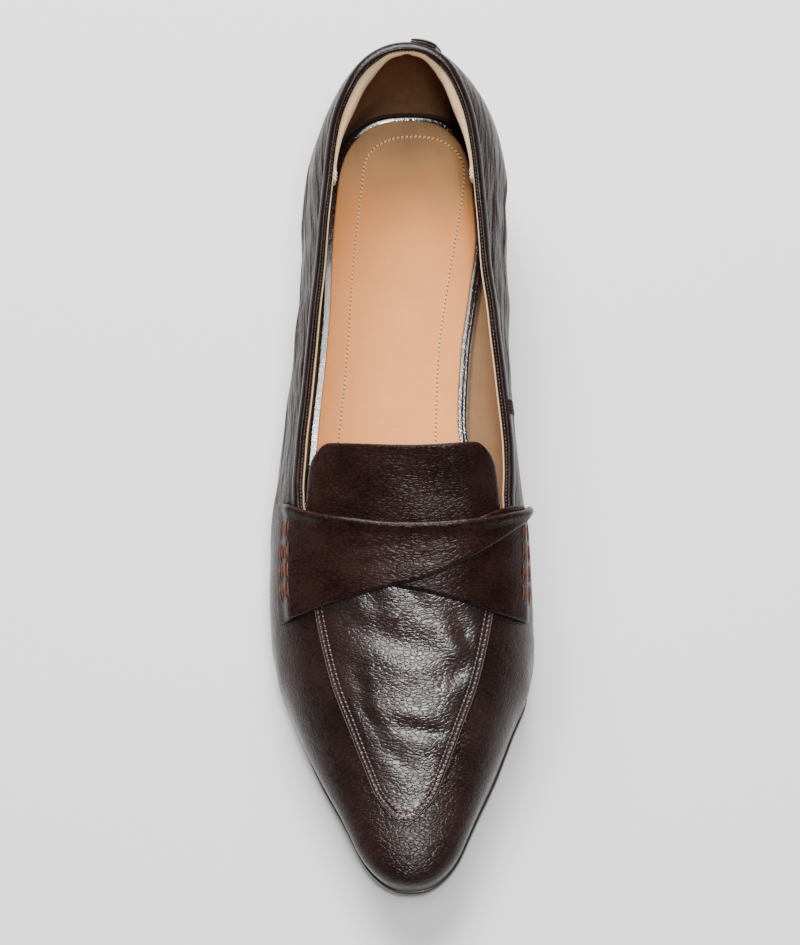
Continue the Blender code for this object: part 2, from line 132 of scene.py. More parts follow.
# The footbed's border: distance in from its edge, and height over its top on either side and
# at the back of the heel.
FOOTBED_BORDER = named_rows(
    "inset lateral medial heel",
    (0.90, -0.024, -0.002, 0.20),
    (1.25, -0.052, 0.088, 0.18),
    (1.90, -0.104, 0.183, -0.07),
    (2.55, -0.156, 0.185, -0.32),
    (3.20, -0.208, 0.095, -0.40),
)
HEEL_BORDER = 7.0

COLLAR = named_rows(
    "t height",
    (0.0, 82.0),
    (12.0, 80.8),
    (30.0, 74.2),
    (50.0, 65.8),
    (70.0, 59.6),
    (90.0, 54.6),
    (110.0, 51.2),
    (130.0, 49.0),
    (145.0, 48.8),
    (152.0, 52.0),
    (160.0, 61.0),
    (259.8, 90.0),
)

APRON_PLAN = named_rows(
    "t half",
    (132.0, 27.2),
    (150.0, 29.6),
    (166.0, 28.8),
    (178.0, 27.4),
    (199.0, 22.8),
    (215.0, 16.8),
    (230.0, 10.8),
    (241.5, 6.0),
)

STRAP_ROW = "around rear front lift"
STRAP_OVER = named_rows(
    STRAP_ROW,
    (-0.69, 144.0, 180.2, 0.3),
    (-0.62, 145.6, 180.5, 0.6),
    (-0.53, 147.6, 180.2, 2.2),
    (-0.45, 149.8, 179.6, 2.2),
    (-0.20, 154.5, 176.8, 3.7),
    (0.00, 156.5, 173.4, 3.7),
    (0.25, 155.0, 165.6, 3.7),
    (0.50, 151.5, 156.8, 3.7),
    (0.62, 149.4, 153.2, 3.7),
    (0.68, 148.0, 150.8, 3.3),
    (0.73, 146.8, 148.6, 2.6),
)
STRAP_UNDER = named_rows(
    STRAP_ROW,
    (0.80, 145.4, 179.4, 0.3),
    (0.74, 146.2, 180.2, 0.6),
    (0.64, 147.5, 181.0, 2.1),
    (0.45, 150.5, 180.4, 2.1),
    (0.20, 156.0, 177.6, 2.1),
    (0.00, 159.5, 174.6, 2.1),
    (-0.16, 161.5, 171.5, 2.1),
)

# Creases: each runs between two places, given as t and x in plan on the apron and the tongue, and
# as t and "around" on the straps and the upper.  Depth is below the smooth surface, and a negative
# depth is a ridge.  Towards its ends a crease grows shallow, and it has a raised lip on both sides.
CREASE_FADE, CREASE_END_DEPTH, LIP_REACH, LIP_HEIGHT = 1.6, 0.55, 2.0, 0.35
CREASE = "t0 p0 t1 p1 width depth"
APRON_CREASES = named_rows(
    CREASE,
    (185, -13, 193, 9, 3.4, 0.55),
    (197, 24, 199, 13, 3.2, 0.85),
    (174, -16, 174, 20, 6.5, -0.60),
    (213.5, -2, 217, 13, 1.8, 0.42),
    (206, -15, 214, -9, 2.0, 0.35),
    (198, -15, 205, -12, 2.0, 0.30),
    (173, -12, 183, -5, 2.4, 0.45),
    (178, -8, 186, -2, 2.2, -0.25),
    (173, 0, 183, 9, 2.2, 0.30),
    (181, 8, 190, 14, 3.0, -0.25),
    (184, 17, 192, 22, 2.6, 0.40),
    (210, -6, 210.5, 12, 3.0, -0.30),
    (220, -6, 226, 2, 2.4, 0.30),
    (218, 5, 220, 11, 2.4, -0.30),
)
TONGUE_CREASES = named_rows(
    CREASE,
    (139, -22, 150, -14, 3.4, 0.45),
    (143, -6, 154, 4, 4.0, -0.35),
    (138, 8, 152, 16, 3.6, 0.40),
    (147, -24, 152, -8, 2.8, -0.30),
)
STRAP_FOLDS = named_rows(
    CREASE,
    (168, -0.70, 158, 0.55, 1.7, 0.28),
    (173, -0.60, 164, 0.20, 1.8, 0.25),
    (162, -0.66, 155, 0.45, 1.8, 0.26),
    (155, -0.62, 158, -0.10, 2.2, -0.28),
)
UPPER_CREASES = named_rows(
    CREASE,
    (34, -1.00, 40, -1.55, 3.6, 0.25),
    (52, -0.80, 56, -1.45, 4.0, 0.27),
    (66, -0.75, 74, -1.50, 4.4, 0.29),
    (84, -0.72, 95, -1.40, 4.6, 0.27),
    (104, -0.75, 118, -1.45, 4.6, 0.25),
    (36, 0.95, 44, 1.60, 3.8, 0.27),
    (54, 0.80, 60, 1.50, 4.2, 0.29),
    (76, 0.75, 84, 1.50, 4.6, 0.32),
    (98, 0.75, 104, 1.55, 4.4, 0.25),
    (18, -1.02, 44, -1.16, 2.0, 0.45),
    (26, -0.90, 58, -0.98, 2.2, 0.45),
    (40, -1.28, 70, -1.22, 2.2, 0.50),
    (58, -1.04, 86, -1.10, 2.0, 0.45),
    (72, -0.86, 100, -0.90, 2.2, 0.40),
    (88, -1.22, 118, -1.16, 2.4, 0.50),
    (104, -0.98, 134, -0.96, 2.2, 0.45),
    (124, -1.12, 150, -1.14, 2.4, 0.45),
    (134, -0.84, 152, -0.92, 2.2, 0.40),
    (20, 1.04, 48, 1.12, 2.0, 0.45),
    (34, 0.90, 62, 0.94, 2.2, 0.45),
    (52, 1.24, 80, 1.18, 2.2, 0.50),
    (70, 1.00, 98, 1.06, 2.2, 0.45),
    (90, 0.84, 116, 0.88, 2.2, 0.40),
    (108, 1.16, 138, 1.10, 2.4, 0.45),
    (184, -1.05, 196, -1.70, 3.2, 0.50),
    (192, -0.85, 206, -1.30, 3.4, 0.40),
    (186, 1.05, 198, 1.70, 3.2, 0.50),
    (196, 0.85, 208, 1.30, 3.4, 0.40),
)


def slopes_of(xs, ys):
    """Slope at each row of a table, flat wherever the table turns round or levels out."""
    steps = np.diff(ys) / np.diff(xs)
    slopes = np.empty(len(xs))
    slopes[0], slopes[-1] = steps[0], steps[-1]
    before, after = steps[:-1], steps[1:]
    together = np.where(before * after > 0, before + after, 1.0)
    slopes[1:-1] = np.where(before * after > 0, 2 * before * after / together, 0.0)
    return slopes


def read(table, column, at):
    """A column of a table at any places, on a smooth curve through its rows."""
    xs = np.array([row[0] for row in table], float)
    ys = np.array([getattr(row, column) for row in table], float)
    if xs[0] > xs[-1]:
        xs, ys = xs[::-1], ys[::-1]
    slopes = slopes_of(xs, ys)
    at = np.clip(np.asarray(at, float), xs[0], xs[-1])
    i = np.clip(np.searchsorted(xs, at, side="right") - 1, 0, len(xs) - 2)
    width = xs[i + 1] - xs[i]
    f = (at - xs[i]) / width
    rise = f * f * (3 - 2 * f)
    start = slopes[i] * width * f * (1 - f) ** 2
    end = slopes[i + 1] * width * f * f * (f - 1)
    return ys[i] + (ys[i + 1] - ys[i]) * rise + start + end


def rounding(distance, length, power=2.0):
    """Share of the full width that a round end has at a distance from its tip."""
    part = np.clip(np.asarray(distance, float) / length, 0.0, 1.0)
    return (1 - (1 - part) ** power) ** (1 / power)


def feather(t):
    """Height of the line where the upper meets the sole."""
    return read(SOLE_LINE, "under", t) + SOLE + GAP


def back_curve(t, height):
    """How far the back curve moves a point towards the toe."""
    fade = np.clip(1 - t / BACK_FADE, 0, None) ** 2
    low = BACK_UNDERCUT * (1 - height / BACK_BULGE) ** 2
    high = BACK_LEAN * ((height - BACK_BULGE) / BACK_LEAN_HEIGHT) ** 2
    return fade * np.where(height < BACK_BULGE, low, high)


Shape = namedtuple("Shape", "t ridge_x ridge belly widest floor full")


def section(t, inset=0.0):
    """The last's cross sections at t, made smaller all round by inset."""
    t = np.asarray(t, float)
    nose = rounding(LENGTH - inset - t, TOE_CAP, TOE_ROUND)
    ends = nose * rounding(t - inset, HEEL_CAP, HEEL_ROUND)
    seat = nose * rounding(t - inset, SEAT_CAP, SEAT_ROUND)

    def both(name):
        lateral, medial = read(SECTIONS, name + "_lat", t), read(SECTIONS, name + "_med", t)
        return (medial - lateral) / 2, (medial + lateral) / 2

    def span(name, share):
        centre, half = both(name)
        half = np.clip(half - inset, 0, None) * share
        return {LATERAL: centre - half, MEDIAL: centre + half}

    apart, middle = both("full")
    full = {LATERAL: middle - apart * ends, MEDIAL: middle + apart * ends}
    ridge = NOSE + (read(SECTIONS, "ridge", t) - NOSE) * nose - inset
    widest = span("widest", ends)
    centre = (widest[LATERAL] + widest[MEDIAL]) / 2
    ridge_x = centre + (read(SECTIONS, "ridge_x", t) - centre) * ends
    belly = np.minimum(read(SECTIONS, "belly", t), BELLY_LIMIT * ridge)
    return Shape(t, ridge_x, ridge, belly, widest, span("floor", seat), full)


def place(t, x, height):
    """Points of the last from their heights above the feather line."""
    t, x, height = np.broadcast_arrays(t, x, height)
    return np.stack([x, -(t + back_curve(t, height)), feather(t) + height], -1)


def inward(station, inset, extra=0.0):
    """Stations moved in from both ends, and their inset, with an extra inset at the heel."""
    depth = inset + extra * np.clip(1 - station / BACK_FADE, 0, None) ** 2
    return depth + station * (1 - 2 * depth / LENGTH), depth


def form(t, side, rise, inset=0.0):
    """Points of the sections: rise is 0 at the sole, 1 at the widest line, 2 at the ridge."""
    s = section(t, inset)
    widest, floor, full = s.widest[side], s.floor[side], s.full[side]
    low = np.clip(rise, 0, 1)
    low_x = floor + (widest - floor) * (1 - (1 - low) ** SIDE_BOW)
    angle = np.clip(np.asarray(rise, float) - 1, 0, 1) * math.pi / 2
    high_x = s.ridge_x + (widest - s.ridge_x) * np.clip(np.cos(angle), 0, 1) ** (2 / full)
    high = s.belly + (s.ridge - s.belly) * np.sin(angle) ** (2 / full)
    lower = np.asarray(rise) <= 1
    return place(t, np.where(lower, low_x, high_x), np.where(lower, s.belly * low, high))


def inset_form(station, side, rise, inset, extra=0.0):
    """Points of the sections made smaller all round, and at both ends, by inset."""
    t, depth = inward(station, inset, extra)
    return form(t, side, rise, depth)


def collar_rise(t, side):
    """Where the topline cuts the sections: 2 where the vamp is closed over the foot."""
    s = section(t)
    share = (read(COLLAR, "height", t) - feather(t) - s.belly) / (s.ridge - s.belly)
    angle = np.arcsin(np.clip(share, 0, 1) ** (s.full[side] / 2))
    return np.where(share >= 1, 2.0, 1 + angle * 2 / math.pi)


def on_top(t, x, off):
    """Points above x on the last made larger by off."""
    t, x, off = np.broadcast_arrays(np.asarray(t, float), np.asarray(x, float), off)
    s = section(t, -off)
    medial = x > s.ridge_x
    widest = np.where(medial, s.widest[MEDIAL], s.widest[LATERAL])
    full = np.where(medial, s.full[MEDIAL], s.full[LATERAL])
    share = np.clip((x - s.ridge_x) / (widest - s.ridge_x), 0, 1)
    return place(t, x, s.belly + (s.ridge - s.belly) * (1 - share**full) ** (1 / full))


def wrapped(t, around, off):
    """Points round the foot on the last made larger by off."""
    t, around, off = np.broadcast_arrays(np.asarray(t, float), np.asarray(around, float), off)
    rise = 2 - np.abs(around)
    medial = form(t, MEDIAL, rise, -off)
    return np.where((around > 0)[..., None], medial, form(t, LATERAL, rise, -off))


def unit(v):
    return v / np.maximum(np.linalg.norm(v, axis=-1, keepdims=True), 1e-9)


def grid_normals(points, outward_x):
    """Normals of a grid of points, turned to the side that outward_x names."""
    n = unit(np.cross(np.gradient(points, axis=0), np.gradient(points, axis=1)))
    return n * outward_x


def crease_field(creases, t, p, p_scale):
    """Height of soft troughs and ridges at places of a surface, in millimetres."""
    height = np.zeros(np.broadcast(t, p).shape)
    for c in creases:
        along_t, along_p = c.t1 - c.t0, (c.p1 - c.p0) * p_scale
        length = math.hypot(along_t, along_p)
        dt, dp = t - c.t0, (p - c.p0) * p_scale
        along = (dt * along_t + dp * along_p) / length**2
        across = (dt * along_p - dp * along_t) / length
        past = np.abs(np.clip(along, 0, 1) - along) * length
        fade = np.exp(-((past / (CREASE_FADE * c.width)) ** 2))
        middle = np.sin(math.pi * np.clip(along, 0, 1))
        taper = CREASE_END_DEPTH + (1 - CREASE_END_DEPTH) * middle
        trough = np.exp(-((across / c.width) ** 2))
        lips = np.exp(-((np.abs(across) - LIP_REACH * c.width) ** 2) / c.width**2)
        height += c.depth * fade * taper * (LIP_HEIGHT * lips - trough)
    return height


def quarter_turn(count, endpoint=True):
    """Angles from zero to a right angle."""
    return np.linspace(0, math.pi / 2, count, endpoint=endpoint)


def full_turn(sides):
    """Angles once round, back to the first one."""
    return 2 * math.pi * np.append(np.arange(sides) / sides, 0.0)


def edge_arc(radius, count):
    """Inset and height of a rounded lower edge, from the bottom up."""
    return [(radius * (1 - math.sin(a)), radius * (1 - math.cos(a))) for a in quarter_turn(count)]


def ends_close(start, stop, count):
    """Places from start to stop, closer together at both ends."""
    return start + (stop - start) * (1 - np.cos(np.linspace(0, math.pi, count))) / 2


# Places along the last, closer together at heel and toe
FINE = np.concatenate([
    HEEL_CAP * (1 - np.cos(quarter_turn(24, endpoint=False))),
    np.linspace(HEEL_CAP, BINDING_END, 52, endpoint=False),
    np.linspace(BINDING_END, LENGTH - TOE_CAP, 56, endpoint=False),
    LENGTH - TOE_CAP * (1 - np.sin(quarter_turn(16))),
])

# The solids' frame: the apron is centred on the last's axis, and the upper ends at the toe's tip
apron_low, apron_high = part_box("vamp_apron")
upper_low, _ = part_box("upper")
ORIGIN = np.array([(apron_low.x + apron_high.x) / 2, upper_low.y + LENGTH * MM, 0.0])

# In metres, how close points are joined and how short an edge is dropped; in degrees, which
# edges stay hard
WELD, SLIVER, SHARP_ANGLE = 2e-6, 1e-7, 50.0


def add_object(name, data):
    obj = bpy.data.objects.new(name, data)
    bpy.context.scene.collection.objects.link(obj)
    return obj


def make_piece(name, sheets, look, replaces=(), weld=True):
    """One piece from sheets of points in millimetres that share their borders."""
    points, faces, start = [], [], 0
    for sheet in sheets:
        rows, columns = sheet.shape[:2]
        index = start + np.arange(rows * columns).reshape(rows, columns)
        corners = [index[:-1, :-1], index[:-1, 1:], index[1:, 1:], index[1:, :-1]]
        faces.append(np.stack(corners, -1).reshape(-1, 4))
        points.append(sheet.reshape(-1, 3))
        start += rows * columns
    points, faces = np.concatenate(points), np.concatenate(faces)
    mesh = bpy.data.meshes.new(name)
    mesh.from_pydata((points * MM + ORIGIN).tolist(), [], faces.tolist())
    bm = bmesh.new()
    bm.from_mesh(mesh)
    if weld:
        bmesh.ops.remove_doubles(bm, verts=bm.verts, dist=WELD)
        bmesh.ops.dissolve_degenerate(bm, edges=bm.edges, dist=SLIVER)
    bmesh.ops.recalc_face_normals(bm, faces=bm.faces)
    if bm.calc_volume(signed=True) < 0:
        bmesh.ops.reverse_faces(bm, faces=bm.faces)
    bm.to_mesh(mesh)
    bm.free()
    mesh.shade_smooth()
    mesh.set_sharp_from_angle(angle=math.radians(SHARP_ANGLE))
    mesh.materials.append(LOOKS[look])
    obj = add_object(name, mesh)
    if replaces:
        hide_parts(*replaces)
    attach(obj, "root")
    return obj


def slab(lower, upper):
    """Sheets of the closed form between two grids."""
    ends = [np.stack([lower[k], upper[k]]) for k in (0, -1)]
    sides = [np.stack([lower[:, k], upper[:, k]]) for k in (0, -1)]
    return [lower, upper, *ends, *sides]


def layered(layers):
    """Sheets of the closed form made of layers, each a row of left and right points."""
    sheets = [layers[0], layers[-1]]
    for low, high in zip(layers, layers[1:]):
        sheets += [np.stack([low[:, k], high[:, k]]) for k in (0, 1)]
        sheets += [np.stack([low[k], high[k]]) for k in (0, -1)]
    return sheets


def tube_sheets(centres, across, up, wide, high, sides):
    """Sheets of a closed bead along centres, with capped ends."""
    angle = full_turn(sides)
    wide, high = np.broadcast_to(wide, len(centres)), np.broadcast_to(high, len(centres))
    ring = across[:, None] * (wide[:, None] * np.cos(angle))[..., None]
    ring = ring + up[:, None] * (high[:, None] * np.sin(angle))[..., None]
    rings = centres[:, None] + ring
    half = sides // 2
    caps = [np.stack([r[: half + 1], r[::-1][: half + 1]]) for r in (rings[0], rings[-1])]
    return [rings, *caps]


# Materials: texture scales per metre, bump heights in metres


class Nodes:
    """Short names for building a material's node tree."""

    def __init__(self, name):
        self.material = bpy.data.materials.new(name)
        self.material.use_nodes = True
        self.tree = self.material.node_tree
        self.shader = self.tree.nodes["Principled BSDF"]
        self.coords = self.tree.nodes.new("ShaderNodeTexCoord").outputs["Object"]

    def feed(self, socket, value):
        """Link an output to an input, or set the input to a plain value."""
        if isinstance(value, bpy.types.NodeSocket):
            self.tree.links.new(value, socket)
        else:
            socket.default_value = value

    def add(self, kind, output, inputs, **settings):
        """The named output of a new node."""
        node = self.tree.nodes.new(kind)
        for key, value in settings.items():
            setattr(node, key, value)
        for key, value in inputs.items():
            self.feed(node.inputs[key], value)
        return node.outputs[output]

    def stretched(self, scale, turn=0.0):
        inputs = {"Vector": self.coords, "Scale": scale, "Rotation": (0.0, 0.0, turn)}
        return self.add("ShaderNodeMapping", "Vector", inputs)

    def along_shoe(self):
        return self.add("ShaderNodeSeparateXYZ", "Y", {"Vector": self.coords})

    def math(self, operation, first, second):
        return self.add("ShaderNodeMath", "Value", {0: first, 1: second}, operation=operation)

    def noise(self, scale, detail=4.0, roughness=0.55, coords=None):
        inputs = {"Scale": scale, "Detail": detail, "Roughness": roughness}
        return self.add("ShaderNodeTexNoise", "Fac", {"Vector": coords or self.coords, **inputs})

    def cells(self, scale, feature="SMOOTH_F1", coords=None):
        inputs = {"Vector": coords or self.coords, "Scale": scale}
        return self.add("ShaderNodeTexVoronoi", "Distance", inputs, feature=feature)

    def remap(self, value, low, high, to_low, to_high):
        limits = {"From Min": low, "From Max": high, "To Min": to_low, "To Max": to_high}
        return self.add("ShaderNodeMapRange", "Result", {"Value": value, **limits})

    def ramp(self, value, *stops):
        output = self.add("ShaderNodeValToRGB", "Color", {"Fac": value})
        elements = output.node.color_ramp.elements
        while len(elements) < len(stops):
            elements.new(0.5)
        for element, (position, colour) in zip(elements, stops):
            element.position = position
            element.color = (*colour, 1.0)
        return output

    def bump(self, height, distance, strength=1.0, below=None):
        inputs = {"Height": height, "Distance": distance, "Strength": strength}
        if below:
            inputs["Normal"] = below
        return self.add("ShaderNodeBump", "Normal", inputs)

    def set(self, **values):
        """Feed the surface's own inputs."""
        for key, value in values.items():
            self.feed(self.shader.inputs[key.replace("_", " ")], value)


def grained_leather(
    name, dark, light, grain, roughness, gloss, turn=0.0, pull=2.2, lines=0.0, polish=0.0
):
    """Leather with short creased grain, drawn out across the direction turn.

    lines is the strength of the long pull lines that run along the quarters, and polish is the
    finish on the toe, which fades out towards the heel.
    """
    n = Nodes(name)
    drawn = n.stretched((1.0 / pull, 1.0, 1.0), turn)
    pebbles = n.remap(n.cells(1050, "DISTANCE_TO_EDGE", drawn), 0.0, 0.20, 0.0, 1.0)
    tint = n.math("ADD", n.noise(70, 5.0), n.remap(pebbles, 0.0, 1.0, -0.16, 0.12))
    normal = n.bump(n.noise(250, 2.0, 0.5, drawn), 0.00035, grain)
    normal = n.bump(n.noise(820, 3.0, 0.6, drawn), 0.00022, grain, normal)
    normal = n.bump(pebbles, 0.00010, grain, normal)
    if lines:
        quarter = n.remap(n.along_shoe(), -0.03, 0.02, 0.0, 1.0)
        quarter = n.math("MULTIPLY", quarter, n.remap(n.along_shoe(), 0.085, 0.125, 1.0, 0.3))
        pulled = n.noise(95, 3.0, 0.55, n.stretched((1.0, 0.22, 1.0)))
        normal = n.bump(n.math("MULTIPLY", pulled, quarter), 0.0070, lines, normal)
    n.set(Base_Color=n.ramp(tint, (0.30, dark), (0.72, light)))
    n.set(Roughness=n.remap(n.noise(130, 3.0), 0.3, 0.7, *roughness))
    n.set(Normal=normal, Specular_IOR_Level=gloss)
    if polish:
        shine = n.remap(n.along_shoe(), 0.03, -0.08, 0.0, polish)
        n.set(Coat_Weight=shine, Coat_Normal=normal, Coat_Roughness=0.34)
    return n.material


def smooth_leather(name, dark, light, roughness, coat=0.0, gloss=0.5, heel=()):
    """Plain leather with faint pores; heel lists the colours of painted shade that darken it towards
    the heel.
    """
    n = Nodes(name)
    tint, stops = n.noise(60, 4.0), [(0.3, dark), (0.7, light)]
    if heel:
        # painted shade: the colour darkens towards the heel, where the walls shade the sock
        heel_shade_fade = n.remap(n.along_shoe(), 0.118, 0.078, 0.0, 0.8)
        tint = n.math("ADD", n.remap(tint, 0.3, 0.7, 0.0, 0.2), heel_shade_fade)
        stops = [(0.0, heel[0]), (0.4, heel[1]), (0.8, dark), (1.0, light)]
    pores = n.bump(n.cells(1900), 0.00012, 0.5)
    n.set(Base_Color=n.ramp(tint, *stops), Normal=n.bump(n.noise(500, 3.0), 0.0002, 0.35, pores))
    n.set(Roughness=n.remap(n.noise(220, 3.0), 0.3, 0.7, *roughness))
    n.set(Coat_Weight=coat, Coat_Roughness=0.15, Specular_IOR_Level=gloss)
    return n.material


def suede(name, dark, light, sheen):
    """Soft napped leather: short fibres, no gloss."""
    n = Nodes(name)
    n.set(Base_Color=n.ramp(n.noise(300, 6.0, 0.7), (0.3, dark), (0.7, light)))
    n.set(Normal=n.bump(n.noise(2200, 4.0, 0.7), 0.00025, 0.6))
    n.set(Roughness=0.92, Sheen_Weight=sheen, Sheen_Roughness=0.5, Specular_IOR_Level=0.2)
    return n.material


def thread(name, dark, light):
    """Twisted sewing thread."""
    n = Nodes(name)
    n.set(Base_Color=n.ramp(n.noise(900, 3.0), (0.35, dark), (0.65, light)))
    n.set(Normal=n.bump(n.noise(3800, 2.0, 0.5), 0.0002, 0.7))
    n.set(Roughness=0.6, Specular_IOR_Level=0.15)
    return n.material


def rubber(name, dark, light, roughness=(0.5, 0.68)):
    """Moulded rubber with a fine texture."""
    n = Nodes(name)
    n.set(Base_Color=n.ramp(n.noise(180, 4.0), (0.3, dark), (0.7, light)))
    n.set(Roughness=n.remap(n.noise(400, 3.0), 0.3, 0.7, *roughness))
    n.set(Normal=n.bump(n.noise(1500, 3.0), 0.0002, 0.5))
    return n.material


def make_looks():
    """All materials by name."""
    dark, light = (0.0075, 0.0027, 0.0022), (0.0215, 0.0088, 0.0074)
    black, near_black = (0.0065, 0.0030, 0.0025), (0.0120, 0.0054, 0.0044)
    purple, rose = (0.020, 0.0085, 0.0085), (0.034, 0.015, 0.015)
    tan, pale_tan = (0.70, 0.265, 0.074), (0.75, 0.289, 0.084)
    # painted shade: the colours the sock darkens through towards its heel
    painted_heel_shade_tan, painted_half_shade_tan = (0.15, 0.095, 0.052), (0.46, 0.235, 0.094)
    makers = {
        grained_leather: [
            ("upper_leather", dark, light, 0.65, (0.25, 0.35), 0.04, 0.0, 1.6, 1.0, 0.48),
            ("apron_leather", dark, light, 0.48, (0.26, 0.34), 0.64, 0.0, 2.0),
            ("tongue_leather", dark, light, 0.50, (0.26, 0.35), 0.14, 0.5, 2.0),
            ("strap_leather", dark, light, 0.48, (0.25, 0.34), 0.13, -0.55, 2.4),
            ("tab_leather", purple, rose, 0.4, (0.30, 0.42), 0.4),
            ("heel_leather", dark, light, 0.30, (0.30, 0.42), 0.35),
        ],
        smooth_leather: [
            ("binding_leather", black, near_black, (0.26, 0.36), 0.0, 0.20),
            ("footbed_edge", (0.008, 0.005, 0.004), (0.015, 0.009, 0.007), (0.10, 0.18), 0.6),
            # the sock's tan leather, with painted shade at its heel end
            ("tan_leather", tan, pale_tan, (0.58, 0.70), 0.0, 0.2, (painted_heel_shade_tan, painted_half_shade_tan)),
            # the lining wall is darker than its pale lip: partly its own colour, partly painted shade
            ("lining_leather", (0.27, 0.148, 0.073), (0.33, 0.186, 0.095), (0.5, 0.62), 0.0, 0.3),
            ("lining_edge", (0.58, 0.385, 0.215), (0.68, 0.465, 0.275), (0.5, 0.62), 0.0, 0.3),
            # painted highlight: the apron's cut edge is coloured lighter where it catches the light
            ("apron_edge_line", (0.028, 0.013, 0.011), (0.050, 0.026, 0.022), (0.28, 0.40)),
        ],
        thread: [
            ("copper_thread", (0.062, 0.022, 0.014), (0.130, 0.052, 0.035)),
            ("rose_thread", (0.150, 0.092, 0.082), (0.275, 0.184, 0.168)),
            ("pale_thread", (0.80, 0.44, 0.19), (0.90, 0.56, 0.29)),
            ("dark_thread", (0.010, 0.0055, 0.0048), (0.026, 0.0150, 0.0130)),
            ("white_thread", (0.70, 0.60, 0.50), (0.88, 0.78, 0.68)),
            ("seam_thread", (0.045, 0.032, 0.027), (0.130, 0.100, 0.085)),
        ],
        suede: [
            ("heel_grip_suede", (0.52, 0.33, 0.175), (0.64, 0.42, 0.235), 0.25),
            # darker than the grip's suede: partly its own colour, partly painted shade of the inner
            # heel wall
            ("counter_suede", (0.115, 0.0550, 0.0250), (0.172, 0.085, 0.0400), 0.0),
        ],
        rubber: [
            # painted shade: dark beads stand in for the shade inside the needle holes
            ("stitch_hole", (0.006, 0.003, 0.002), (0.010, 0.005, 0.004)),
            ("sock_hole", (0.035, 0.013, 0.006), (0.060, 0.023, 0.010)),
            ("sole_rubber", (0.012, 0.008, 0.007), (0.024, 0.016, 0.013), (0.30, 0.42)),
        ],
    }
    return {row[0]: make(*row) for make, rows in makers.items() for row in rows}


LOOKS = make_looks()

# Upper: its creases fade out towards heel and toe, the sole and the collar
AROUND_MM, END_FADE, SOLE_FADE, COLLAR_FADE = 42.0, 12.0, 0.25, 0.08
LEATHER_COUNTER, LINING_GAP = 0.4, 0.05


def shell_sheets(outer_inset, inner_inset, heel_outer, heel_inner, low, high, creases=()):
    """A wall of the upper between two insets, open at the collar and underneath."""
    throat = int(np.argmax(collar_rise(FINE, LATERAL) >= 2.0))
    sheets = []
    for side in SIDES:
        top = collar_rise(FINE, side)[:, None]
        lower = np.linspace(0, 1, low, endpoint=False)[None, :] + 0 * top
        upper = 1 + np.linspace(0, 1, high)[None, :] * (top - 1)
        rise = np.concatenate([lower, upper], 1)
        outer = inset_form(FINE[:, None], side, rise, outer_inset, heel_outer)
        inner = inset_form(FINE[:, None], side, rise, inner_inset, heel_inner)
        if creases:
            height = crease_field(creases, FINE[:, None], side * (2 - rise), AROUND_MM)
            at_sole = np.clip(rise / SOLE_FADE, 0, 1)
            at_ends = np.clip(np.minimum(FINE, LENGTH - FINE) / END_FADE, 0, 1)[:, None]
            fade = at_ends * at_sole * np.clip((top - rise) / COLLAR_FADE, 0, 1)
            fade = np.where(top >= 2, at_sole, fade)
            outer = outer + grid_normals(outer, side) * (height * fade)[..., None]
        sheets += [outer, inner, np.stack([outer[:, 0], inner[:, 0]])]
        edge = slice(0, throat + 1)
        sheets.append(np.stack([outer[edge, -1], inner[edge, -1]]))
    return sheets


def make_upper():
    sheets = shell_sheets(0.0, LEATHER, 0.0, LEATHER_COUNTER, 10, 30, UPPER_CREASES)
    make_piece("upper_leather", sheets, "upper_leather", ["upper"])
    outer, counter = LEATHER + LINING_GAP, LEATHER_COUNTER + LINING_GAP
    lining = shell_sheets(outer, WALL, counter, COUNTER, 8, 20)
    # the lining wall's darker colour is partly painted shade
    make_piece("quarter_lining", lining, "lining_leather")


def sole_rungs(t, depth, height):
    """Left and right points of the sole's outline, inset by depth."""
    s = section(t, depth)
    y = -(t + back_curve(t, np.zeros_like(t)))
    heights = np.broadcast_to(height, (len(SIDES), len(t)))
    return np.stack([np.stack([s.floor[side], y, z], -1) for side, z in zip(SIDES, heights)], 1)


def make_outsole():
    def layer(edge, rise):
        t, depth = inward(FINE, edge - read(SOLE_LINE, "margin", FINE))
        return sole_rungs(t, depth, read(SOLE_LINE, "under", t) + rise)

    arc = edge_arc(SOLE_EDGE, 5)
    low = [layer(inset, rise) for inset, rise in arc]
    high = [layer(inset, SOLE - rise) for inset, rise in reversed(arc)]
    make_piece("outsole_rubber", layered(low + high), "sole_rubber", ["outsole"])


def pad_layers(inset, base, thickness, edge, border=()):
    """Layers of a pad inside the upper; border shapes the rim of its top."""

    def layer(more, rise):
        t, depth = inward(FINE, inset + more, FOOTBED_BACK)
        return sole_rungs(t, depth, feather(t) + base + rise)

    def border_rise(row):
        sides = np.array([row.lateral, row.medial])[:, None]
        return thickness + sides + (row.heel - sides) * np.exp(-((FINE / HEEL_BORDER) ** 2))

    top = [layer(more, thickness - rise) for more, rise in reversed(edge_arc(edge, 6))]
    top += [layer(row.inset, border_rise(row)) for row in border]
    return layered([layer(edge / 2, 0.0), layer(0.0, edge / 2), *top])


def make_footbed():
    inset = WALL + GAP
    bed = pad_layers(inset, 0.0, FOOTBED, FOOTBED_EDGE, FOOTBED_BORDER)
    make_piece("footbed_edge", bed, "footbed_edge", ["footbed"])
    sock = pad_layers(inset + SOCK_BORDER, FOOTBED + GAP, SOCK, SOCK_EDGE)
    make_piece("sock_leather", sock, "tan_leather", ["sock_lining"])


